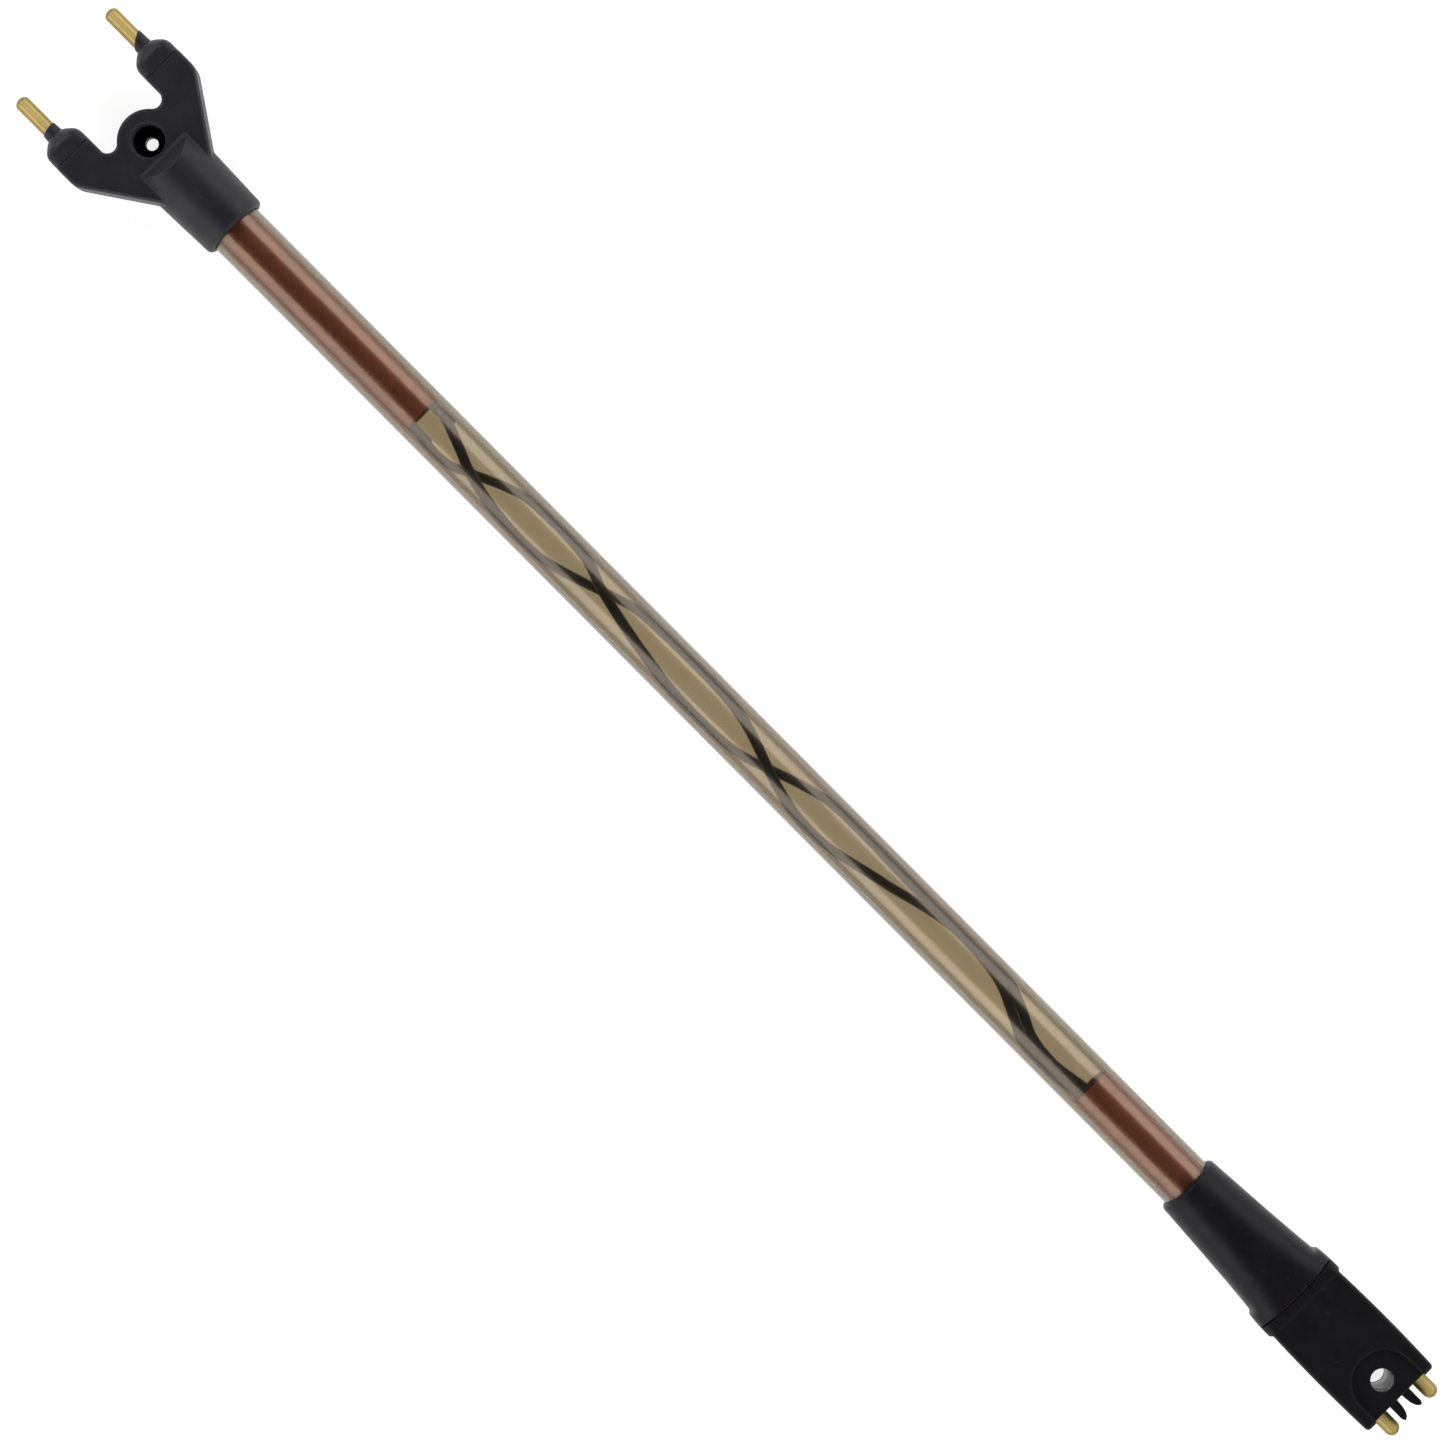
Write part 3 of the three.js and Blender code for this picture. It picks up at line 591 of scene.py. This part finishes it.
def plug_bushing():
    """A turned bushing with shallow grooves in its bore, standing on the Z axis."""
    outer = [(-BUSHING_HALF, BUSHING_RADIUS - 0.2), (-BUSHING_HALF + 0.2, BUSHING_RADIUS)]
    outer += [(BUSHING_HALF - 0.2, BUSHING_RADIUS), (BUSHING_HALF, BUSHING_RADIUS - 0.2)]
    inner = [(BUSHING_HALF, SCREW_HOLE + 0.25), (BUSHING_HALF - 0.25, SCREW_HOLE)]
    for z in np.linspace(BUSHING_HALF - 0.6, -BUSHING_HALF + 0.6, 90):
        groove = 0.3 * max(0.0, math.sin(2 * math.pi * z / 2.3)) ** 2
        inner.append((z, SCREW_HOLE + groove))
    inner += [(-BUSHING_HALF + 0.25, SCREW_HOLE), (-BUSHING_HALF, SCREW_HOLE + 0.25)]
    points, faces = ring_mesh(turn(outer + inner, 80), loop=True)
    return np.stack([HOLE_X + points[:, 2], points[:, 1], points[:, 0]], 1), faces


# ---- Leads ------------------------------------------------------------------------------------

# Each lead lies on the tube's bore and winds round it: x, degrees round the bore from the right
# side over the top, and distance from the axis.
RIGHT_WINDING = [
    (138.7, 0, 4.4), (133.2, 30, 5.0), (127.2, 62, 5.4), (121.3, 86, 5.5), (115.3, 110, 5.5),
    (105.0, 139, 5.5), (96.4, 160, 5.5), (88.3, 180, 5.5), (81.4, 206, 5.5), (74.8, 234, 5.5),
    (62.6, 280, 5.5), (56.0, 308, 5.5), (50.4, 330, 5.5), (39.5, 348, 5.5), (25.6, 362, 5.5),
    (13.6, 382, 5.5), (4.9, 404, 5.5), (-3.9, 434, 5.5), (-11.8, 463, 5.5), (-18.9, 486, 5.5),
    (-25.5, 508, 5.5), (-36.5, 540, 5.5), (-46.8, 580, 5.5), (-56.0, 609, 5.5),
    (-65.1, 631, 5.5), (-73.0, 655, 5.5), (-82.6, 683, 5.5), (-92.6, 703, 5.5),
    (-101.6, 722, 5.5), (-107.7, 743, 5.5), (-113.3, 770, 5.5), (-119.1, 798, 5.5),
    (-126.2, 830, 5.5), (-135.8, 842, 5.5), (-143.9, 833, 5.0), (-149.4, 826, 4.4),
    (-171.1, 795, 4.4), (-189.2, 755, 4.4), (-211.4, 722, 4.4),
]  # fmt: skip
LEFT_WINDING = [
    (138.7, 180, 4.4), (133.2, 181, 5.0), (127.2, 188, 5.5), (121.3, 212, 5.5), (115.3, 250, 5.5),
    (105.0, 302, 5.5), (96.4, 340, 5.5), (85.4, 362, 5.5), (74.8, 388, 5.5), (68.5, 412, 5.5),
    (62.6, 436, 5.5), (50.4, 464, 5.5), (35.3, 494, 5.5), (23.6, 522, 5.5), (10.6, 545, 5.5),
    (0.6, 567, 5.5), (-11.8, 617, 5.5), (-18.9, 645, 5.5), (-25.5, 670, 5.5),
    (-32.4, 698, 5.5), (-40.5, 720, 5.5), (-50.5, 734, 5.5), (-60.5, 744, 5.5), (-71.5, 750, 5.5),
    (-82.6, 751, 5.5), (-92.6, 753, 5.5), (-101.6, 764, 5.5), (-107.7, 781, 5.5),
    (-113.3, 806, 5.5), (-119.1, 834, 5.5), (-126.2, 868, 5.5), (-135.8, 881, 5.5),
    (-143.9, 877, 5.0), (-149.4, 873, 4.4), (-171.1, 885, 4.4), (-189.2, 900, 4.4), (-211.4, 900, 4.4),
]  # fmt: skip


# A smooth curve overshoots its stations, so its distance from the axis is held to these.
PIN_LIMIT, WINDING_LIMIT, WINDING_END = 8.15, 5.52, 232


def lead_centres(side):
    """The lead's route as close, smoothly spaced points."""
    start, end = (180, 900) if side > 0 else (0, 720)
    winding = LEFT_WINDING if side > 0 else RIGHT_WINDING
    stations = [(x, start, y) for x, y in HEAD_SPREAD] + winding
    stations = np.array(stations + [(x, end, y) for x, y in PLUG_SPREAD], float)
    padded = np.vstack([2 * stations[0] - stations[1], stations, 2 * stations[-1] - stations[-2]])
    out = []
    for i in range(1, len(padded) - 2):
        p0, p1, p2, p3 = padded[i - 1 : i + 3]
        steps = max(3, int(np.linalg.norm((p2 - p1)[[0, 2]]) / 1.2))
        for t in np.arange(steps)[:, None] / steps:
            bend = (2 * p0 - 5 * p1 + 4 * p2 - p3) * t**2 + (3 * p1 - p0 - 3 * p2 + p3) * t**3
            out.append(p1 + 0.5 * ((p2 - p0) * t + bend))
    x, turn_angle, distance = np.vstack([*out, stations[-1]]).T
    distance = np.where(x > 236, distance, np.minimum(distance, PIN_LIMIT))
    in_tube = np.abs(x) < WINDING_END
    distance = np.where(in_tube, np.minimum(distance, WINDING_LIMIT), distance)
    angle = np.radians(turn_angle)
    return np.stack([x, -distance * np.cos(angle), distance * np.sin(angle)], 1)


def lead_insulation(side):
    """The lead's hollow insulation, swept along its route."""
    centres = lead_centres(side)
    along = np.gradient(centres, axis=0)
    along /= np.linalg.norm(along, axis=1)[:, None]
    sideways = np.cross(along, [0, 0, 1.0])
    sideways /= np.linalg.norm(sideways, axis=1)[:, None]
    upward = np.cross(sideways, along)
    turns = np.linspace(0, 2 * math.pi, 16, endpoint=False)[None, :, None]

    def skin(radius, order):
        """Rings of a radius round the route, from the head where the order is 1."""
        around = np.cos(turns) * sideways[:, None] + np.sin(turns) * upward[:, None]
        return (centres[:, None] + radius * around)[::order]

    return ring_mesh(np.vstack([skin(LEAD_RADIUS, 1), skin(LEAD_BORE, -1)]), loop=True)


# ---- Finishes ---------------------------------------------------------------------------------


class Finish:
    """A Principled material being built from procedural nodes, in metres in the shared frame."""

    def __init__(self, name, **sockets):
        self.material = bpy.data.materials.new(name)
        self.material.use_nodes = True
        self.tree = self.material.node_tree
        self.surface = self.tree.nodes["Principled BSDF"]
        for socket, value in sockets.items():
            self.surface.inputs[socket.replace("_", " ")].default_value = value
        self.place = self.tree.nodes.new("ShaderNodeTexCoord").outputs["Object"]

    def join(self, source, target):
        """Links an output to an input, or sets the input where the source is a plain value."""
        if isinstance(source, bpy.types.NodeSocket):
            self.tree.links.new(source, target)
        else:
            target.default_value = (*source, 1) if isinstance(source, tuple) else source

    def noise(self, scale, detail=2.0, roughness=0.5, stretch=None):
        """Noise with a number of features to the metre, drawn out along an axis by stretch."""
        node = self.tree.nodes.new("ShaderNodeTexNoise")
        node.inputs["Scale"].default_value = scale
        node.inputs["Detail"].default_value = detail
        node.inputs["Roughness"].default_value = roughness
        place = self.place
        if stretch:
            mapping = self.tree.nodes.new("ShaderNodeMapping")
            mapping.inputs["Scale"].default_value = stretch
            self.join(place, mapping.inputs["Vector"])
            place = mapping.outputs["Vector"]
        self.join(place, node.inputs["Vector"])
        return node.outputs["Fac"]

    def spots(self, scale, size):
        """Scattered round specks, 1 inside a speck and 0 outside."""
        node = self.tree.nodes.new("ShaderNodeTexVoronoi")
        node.inputs["Scale"].default_value = scale
        self.join(self.place, node.inputs["Vector"])
        return self.remap(node.outputs["Distance"], size, size * 0.6, 0, 1)

    def remap(self, value, low, high, to_low, to_high):
        """Carries one range of values onto another, held to its ends."""
        node = self.tree.nodes.new("ShaderNodeMapRange")
        self.join(value, node.inputs["Value"])
        levels = {"From Min": low, "From Max": high, "To Min": to_low, "To Max": to_high}
        for socket, number in levels.items():
            node.inputs[socket].default_value = number
        return node.outputs["Result"]

    def math(self, operation, a, b=0.0):
        """One operation on two values or outputs."""
        node = self.tree.nodes.new("ShaderNodeMath")
        node.operation = operation
        self.join(a, node.inputs[0])
        self.join(b, node.inputs[1])
        return node.outputs[0]

    def blend(self, share, a, b):
        """Colour a where the share is 0, and colour b where it is 1."""
        node = self.tree.nodes.new("ShaderNodeMix")
        node.data_type = "RGBA"
        self.join(share, node.inputs["Factor"])
        colours = [s for s in node.inputs if s.type == "RGBA"]
        for source, target in zip((a, b), colours):
            self.join(source, target)
        return [s for s in node.outputs if s.type == "RGBA"][0]

    def bump(self, height, depth, onto=None):
        """Bump of a real depth in metres, on top of an earlier bump."""
        node = self.tree.nodes.new("ShaderNodeBump")
        node.inputs["Distance"].default_value = depth
        self.join(height, node.inputs["Height"])
        if onto is not None:
            self.join(onto, node.inputs["Normal"])
        return node.outputs["Normal"]

    def edges(self, low=0.52, high=0.6):
        """1 on sharp outer edges, which handling wears lighter and which also get a painted highlight.
        """
        node = self.tree.nodes.new("ShaderNodeNewGeometry")
        return self.remap(node.outputs["Pointiness"], low, high, 0, 1)

    def set(self, socket, source):
        """Gives one of the surface's inputs a plain value or an output."""
        self.join(source, self.surface.inputs[socket])


def moulded(name, dark, light, rough, sheen, grain, grain_depth, edge_wear_and_painted_highlight):
    """A moulded plastic: flow patches, fine grain, dull and shiny areas, and edges lightened by
    handling and by a painted highlight.
    """
    finish = Finish(name, Specular_IOR_Level=sheen)
    patches = finish.noise(70, 4, 0.6)
    fine = finish.noise(grain, 3, 0.6)
    broad, close = finish.remap(patches, 0.3, 0.7, 0, 0.6), finish.remap(fine, 0.3, 0.7, 0, 0.4)
    colour = finish.blend(finish.math("ADD", broad, close), dark, light)
    # Sharp edges are lightened towards 3.2 times the light colour: partly handling marks, partly a
    # painted highlight along them.
    handled = finish.remap(finish.noise(420, 3), 0.35, 0.65, 0.3, 1)
    wear_and_painted_edge_highlight = finish.math("MULTIPLY", finish.edges(), handled)
    colour = finish.blend(finish.math("MULTIPLY", wear_and_painted_edge_highlight, edge_wear_and_painted_highlight), colour, tuple(3.2 * c for c in light))
    dust = finish.math("MULTIPLY", finish.spots(330, 0.16), finish.remap(patches, 0.5, 0.62, 0, 0.12))
    finish.set("Base Color", finish.blend(dust, colour, (0.13, 0.125, 0.12)))
    shine = finish.noise(160, 4, 0.7)
    finish.set("Roughness", finish.remap(shine, 0.3, 0.7, rough - 0.07, rough + 0.09))
    normal = finish.bump(fine, grain_depth)
    finish.set("Normal", finish.bump(finish.noise(95, 2), 0.00006, normal))
    return finish.material


def turned_brass(name):
    """Brass rod: tool rings round it, long handling scratches, a light brown tarnish, and painted shade
    darkening it towards its sides.
    """
    finish = Finish(name, Metallic=0.4, Anisotropic=0.85, Anisotropic_Rotation=0.25)
    around = finish.tree.nodes.new("ShaderNodeTangent")
    around.direction_type, around.axis = "RADIAL", "X"
    finish.set("Tangent", around.outputs[0])
    patches = finish.noise(180, 4, 0.6)
    rings = finish.noise(1, 3, 0.6, stretch=(2600, 40, 40))
    scratches = finish.noise(1, 2, 0.5, stretch=(60, 3000, 3000))
    tarnish = finish.remap(patches, 0.42, 0.72, 0, 0.55)
    colour = finish.blend(tarnish, (0.90, 0.69, 0.22), (0.74, 0.55, 0.16))
    colour = finish.blend(finish.remap(rings, 0.35, 0.7, 0, 0.3), colour, (0.95, 0.77, 0.32))
    # Painted shade: the colour darkens towards the rod's sides, where they turn away from view.
    facing = finish.tree.nodes.new("ShaderNodeLayerWeight").outputs["Facing"]
    rim = finish.remap(facing, 0.02, 0.35, 0, 0.85)
    finish.set("Base Color", finish.blend(rim, colour, (0.30, 0.215, 0.05)))
    dull = finish.remap(patches, 0.3, 0.7, 0.42, 0.52)
    scuffed = finish.remap(scratches, 0.5, 0.8, 0, 0.12)
    finish.set("Roughness", finish.math("ADD", dull, scuffed))
    normal = finish.bump(rings, 0.00002)
    finish.set("Normal", finish.bump(scratches, 0.000006, normal))
    return finish.material


def drawn_copper(name):
    """Drawn copper tube: streaks along it, brown oxide patches and darker spots."""
    finish = Finish(name, Metallic=1.0)
    streaks = finish.noise(1, 4, 0.65, stretch=(22, 1500, 1500))
    patches = finish.noise(120, 5, 0.65)
    oxide = finish.remap(patches, 0.35, 0.72, 0, 0.75)
    colour = finish.blend(oxide, (0.61, 0.235, 0.165), (0.45, 0.155, 0.108))
    colour = finish.blend(finish.remap(streaks, 0.45, 0.75, 0, 0.45), colour, (0.64, 0.28, 0.20))
    specks = finish.math("MULTIPLY", finish.spots(420, 0.22), 0.5)
    colour = finish.blend(specks, colour, (0.20, 0.08, 0.05))
    finish.set("Base Color", colour)
    finish.set("Roughness", finish.remap(patches, 0.3, 0.7, 0.40, 0.54))
    normal = finish.bump(streaks, 0.00002)
    finish.set("Normal", finish.bump(finish.noise(60, 2), 0.00008, normal))
    return finish.material


def clear_tube(name):
    """Smoke-amber clear plastic: faint flow lines and scuffs, and only a thin shadow."""
    finish = Finish(name, Transmission_Weight=1.0, IOR=1.46, Coat_IOR=1.75, Coat_Roughness=0.27)
    finish.set("Specular Tint", (1.0, 0.78, 0.55))
    flow = finish.noise(1, 3, 0.5, stretch=(9, 420, 420))
    scuffs = finish.noise(1, 4, 0.7, stretch=(90, 900, 900))
    facing = finish.tree.nodes.new("ShaderNodeLayerWeight").outputs["Facing"]
    tint = finish.blend(finish.remap(flow, 0.3, 0.7, 0, 1), TUBE_TINT, TUBE_TINT_DEEP)
    finish.set("Base Color", finish.blend(finish.remap(facing, 0.25, 0.5, 0, 1), tint, TUBE_TINT_EDGE))
    finish.set("Coat Weight", finish.remap(facing, 0.25, 0.45, 0.55, 0.12))
    finish.set("Roughness", finish.remap(scuffs, 0.45, 0.8, 0.06, 0.16))
    normal = finish.bump(flow, 0.000006)
    finish.set("Normal", finish.bump(finish.noise(30, 2), 0.00006, normal))
    output = finish.tree.nodes["Material Output"]
    path = finish.tree.nodes.new("ShaderNodeLightPath")
    clear = finish.tree.nodes.new("ShaderNodeBsdfTransparent")
    clear.inputs["Color"].default_value = (*TUBE_SHADOW, 1)
    choose = finish.tree.nodes.new("ShaderNodeMixShader")
    finish.join(path.outputs["Is Shadow Ray"], choose.inputs[0])
    finish.join(finish.surface.outputs[0], choose.inputs[1])
    finish.join(clear.outputs[0], choose.inputs[2])
    finish.join(choose.outputs[0], output.inputs["Surface"])
    return finish.material


def wire_insulation(name):
    """Black vinyl with drawing lines along it and slightly greyer patches."""
    finish = Finish(name, Specular_IOR_Level=0.5)
    fine = finish.noise(1, 3, 0.6, stretch=(300, 1400, 1400))
    patches = finish.noise(110, 4, 0.6)
    share = finish.remap(patches, 0.35, 0.7, 0, 1)
    finish.set("Base Color", finish.blend(share, (0.009, 0.0095, 0.015), (0.018, 0.019, 0.028)))
    finish.set("Roughness", finish.remap(fine, 0.3, 0.7, 0.34, 0.5))
    finish.set("Normal", finish.bump(fine, 0.00002))
    return finish.material


def plated_steel(name):
    """Plain turned metal: grooves from the tool round it, and a dull film in patches."""
    finish = Finish(name, Metallic=1.0)
    rings = finish.noise(1, 3, 0.6, stretch=(30, 30, 900))
    patches = finish.noise(260, 4, 0.6)
    film = finish.remap(patches, 0.35, 0.7, 0, 1)
    colour = finish.blend(film, (0.50, 0.49, 0.50), (0.34, 0.33, 0.34))
    grooves = finish.remap(rings, 0.45, 0.65, 0, 0.6)
    finish.set("Base Color", finish.blend(grooves, colour, (0.17, 0.165, 0.17)))
    finish.set("Roughness", finish.remap(patches, 0.3, 0.7, 0.36, 0.52))
    finish.set("Normal", finish.bump(rings, 0.00004))
    return finish.material


def pale_floor(name):
    """A plain white surface, slightly mottled, that glows a little so that it stays white."""
    finish = Finish(name, Specular_IOR_Level=0.1)
    mottle = finish.noise(14, 3, 0.5)
    fine = finish.noise(500, 2, 0.5)
    share = finish.remap(mottle, 0.3, 0.7, 0, 1)
    finish.set("Base Color", finish.blend(share, (0.50, 0.50, 0.50), (0.52, 0.52, 0.52)))
    finish.set("Roughness", finish.remap(fine, 0.3, 0.7, 0.8, 0.95))
    finish.set("Normal", finish.bump(fine, 0.00001))
    finish.set("Emission Color", (1.0, 1.0, 1.0))
    finish.set("Emission Strength", FLOOR_GLOW)
    return finish.material


# ---- Lights, floor and camera -----------------------------------------------------------------


def soft_box(name, position, width, length, radiance, colour=(1, 1, 1)):
    """A rectangular light with its long side along the shaft, facing the shaft."""
    light = bpy.data.lights.new(name, "AREA")
    light.shape = "RECTANGLE"
    light.size, light.size_y = length, width
    light.energy = radiance * math.pi * width * length
    light.color = colour
    lamp = bpy.data.objects.new(name, light)
    position = Vector(position)
    back = position.normalized()
    right = Vector((1, 0, 0))
    right = (right - back * right.dot(back)).normalized()
    up = back.cross(right)
    turn_matrix = Matrix((right, up, back)).transposed().to_4x4()
    lamp.matrix_world = Matrix.Translation(position) @ turn_matrix
    bpy.context.scene.collection.objects.link(lamp)


def studio():
    """Two long soft boxes, a light over each end, a dim surround and a white floor."""
    for side, name in ((1, "left"), (-1, "right")):
        angle = math.radians(BOX_ANGLE)
        place = (0, side * BOX_DISTANCE * math.sin(angle), BOX_DISTANCE * math.cos(angle))
        soft_box(f"soft_box_{name}", place, BOX_WIDTH, BOX_LENGTH, BOX_RADIANCE)
    for side, name in ((1, "front"), (-1, "rear")):
        soft_box(f"end_light_{name}", (side * 1.35, 0, 0.75), 0.7, 0.7, END_RADIANCE)

    world = bpy.data.worlds.new("studio")
    bpy.context.scene.world = world
    world.use_nodes = True
    nodes, links = world.node_tree.nodes, world.node_tree.links
    background = nodes["Background"]
    direction = nodes.new("ShaderNodeTexCoord")
    parts = nodes.new("ShaderNodeSeparateXYZ")
    height = nodes.new("ShaderNodeMapRange")
    links.new(direction.outputs["Generated"], parts.inputs[0])
    links.new(parts.outputs["Z"], height.inputs["Value"])
    levels = {"From Min": 0.55, "From Max": 0.93, "To Min": WORLD_LOW, "To Max": WORLD_TOP}
    for socket, value in levels.items():
        height.inputs[socket].default_value = value
    links.new(height.outputs["Result"], background.inputs["Strength"])

    row = FLOOR_SQUARES + 1
    steps = np.linspace(-FLOOR_HALF, FLOOR_HALF, row)
    points = [(x, y, FLOOR_HEIGHT) for x in steps for y in steps]
    faces = [
        (row * i + j, row * (i + 1) + j, row * (i + 1) + j + 1, row * i + j + 1)
        for i in range(FLOOR_SQUARES)
        for j in range(FLOOR_SQUARES)
    ]
    mesh = bpy.data.meshes.new("studio_floor")
    mesh.from_pydata(points, [], faces)
    mesh.materials.append(pale_floor("pale_floor"))
    floor = bpy.data.objects.new("studio_floor", mesh)
    bpy.context.scene.collection.objects.link(floor)


def camera():
    """Looks almost straight down, with the shaft on the picture's diagonal, head at upper left."""
    data = bpy.data.cameras.new("camera")
    data.sensor_width = 36
    data.lens = 106.64
    data.clip_end = 20
    eye = bpy.data.objects.new("camera", data)
    right, up = Vector((-0.70515, -0.70881, 0.01881)), Vector((0.70858, -0.70540, -0.01813))
    back = right.cross(up)
    turn_matrix = Matrix((right, up, back)).transposed().to_4x4()
    eye.matrix_world = Matrix.Translation((0.0420, 0.0018, AXIS_HEIGHT * MM + 1.300)) @ turn_matrix
    bpy.context.scene.collection.objects.link(eye)
    bpy.context.scene.camera = eye


TUBE_TINT, TUBE_TINT_DEEP = (0.56, 0.49, 0.365), (0.54, 0.47, 0.345)
TUBE_TINT_EDGE = (0.10, 0.080, 0.055)
TUBE_SHADOW = (0.90, 0.88, 0.84)
BOX_ANGLE, BOX_DISTANCE, BOX_WIDTH, BOX_LENGTH, BOX_RADIANCE = 60, 1.1, 0.8, 2.2, 1.75
END_RADIANCE = 3.0
WORLD_LOW, WORLD_TOP = 0.3, 0.23
FLOOR_GLOW = 0.82
FLOOR_HALF, FLOOR_SQUARES, FLOOR_HEIGHT = 4.0, 16, -0.00005

camera()
studio()
bpy.context.scene.view_settings.view_transform = "Standard"

head_plastic = moulded(
    "head_plastic",
    dark=(0.0148, 0.0134, 0.0196),
    light=(0.0222, 0.0203, 0.0284),
    rough=0.48,
    sheen=0.38,
    grain=1300,
    grain_depth=0.00003,
    edge_wear_and_painted_highlight=0.5,
)
boot_rubber = moulded(
    "boot_rubber",
    dark=(0.0062, 0.0052, 0.0082),
    light=(0.0095, 0.0082, 0.0118),
    rough=0.42,
    sheen=0.22,
    grain=1700,
    grain_depth=0.00002,
    edge_wear_and_painted_highlight=0.5,
)
plug_plastic = moulded(
    "plug_plastic",
    dark=(0.0034, 0.0026, 0.0042),
    light=(0.0062, 0.0051, 0.0071),
    rough=0.5,
    sheen=0.24,
    grain=1200,
    grain_depth=0.000025,
    edge_wear_and_painted_highlight=0.0,
)
brass = turned_brass("brass")
copper = drawn_copper("copper")
tube_plastic = clear_tube("clear_tube")
insulation = wire_insulation("lead_insulation")
steel = plated_steel("steel")

# ---- The model --------------------------------------------------------------------------------

add_piece(
    "contact_head_moulding",
    field_mesh(head_field, (RIM, -26.2, -NECK_RADIUS - 0.4), (ARM_END, 26.2, NECK_RADIUS + 0.4), 0.35),
    head_plastic,
    ["contact_head"],
)
add_piece(
    "plug_moulding",
    field_mesh(plug_field, (TOOTH_TIP, -15.4, -PLUG_THICK), (-229.2, 15.4, PLUG_THICK), 0.35),
    plug_plastic,
    ["plug_body"],
)
add_piece("boot_skin", rear_boot(), boot_rubber, ["rear_boot"], crease=35)
add_piece(
    "clear_tube_wall",
    pipe(TUBE_LOW[0], TUBE_HIGH[0], TUBE_RADIUS, TUBE_BORE, 128),
    tube_plastic,
    ["shaft_tube"],
    crease=30,
)
for word in ("front", "rear"):
    low, high = span(f"{word}_copper_sleeve")
    sleeve = pipe(low[0], high[0], (high[1] - low[1]) / 2, SLEEVE_BORE, 128, 0.25)
    add_piece(f"{word}_copper_tube", sleeve, copper, [f"{word}_copper_sleeve"], crease=30)
add_piece("bushing_turning", plug_bushing(), steel, ["plug_bushing"], crease=40)

# The thin end of a rod that enters its terminal, and the groove near an electrode's tip
TAIL, TIP_GROOVE = 3.1, 285.2
for word, side in (("left", 1), ("right", -1)):
    cap, cap_nodes = tip_cap(side), [f"{word}_tip_cap"]
    add_piece(f"{word}_cap_moulding", cap, head_plastic, cap_nodes, crease=50)
    rear, tip = ROD_LOW[0] + TAIL, ROD_HIGH[0]
    electrode = rod(ROD_LOW[0], rear, tip, ROD_RADIUS, 1.8, side * ARM_Y, TIP_GROOVE)
    add_piece(f"{word}_electrode_rod", electrode, brass, [f"{word}_electrode"], crease=35)
    pin = rod(PIN_HIGH[0], PIN_HIGH[0] - TAIL, PIN_LOW[0], PIN_RADIUS, 2.4, side * PIN_Y)
    add_piece(f"{word}_contact_rod", pin, brass, [f"{word}_contact_pin"], crease=35)
    lead, lead_nodes = lead_insulation(side), [f"{word}_lead_insulation"]
    add_piece(f"{word}_lead", lead, insulation, lead_nodes)
    frame["nodes"][f"{word}_lead_conductor"].material_slots[0].material = copper
    for kind in ("electrode", "contact"):
        frame["nodes"][f"{word}_{kind}_terminal"].material_slots[0].material = brass
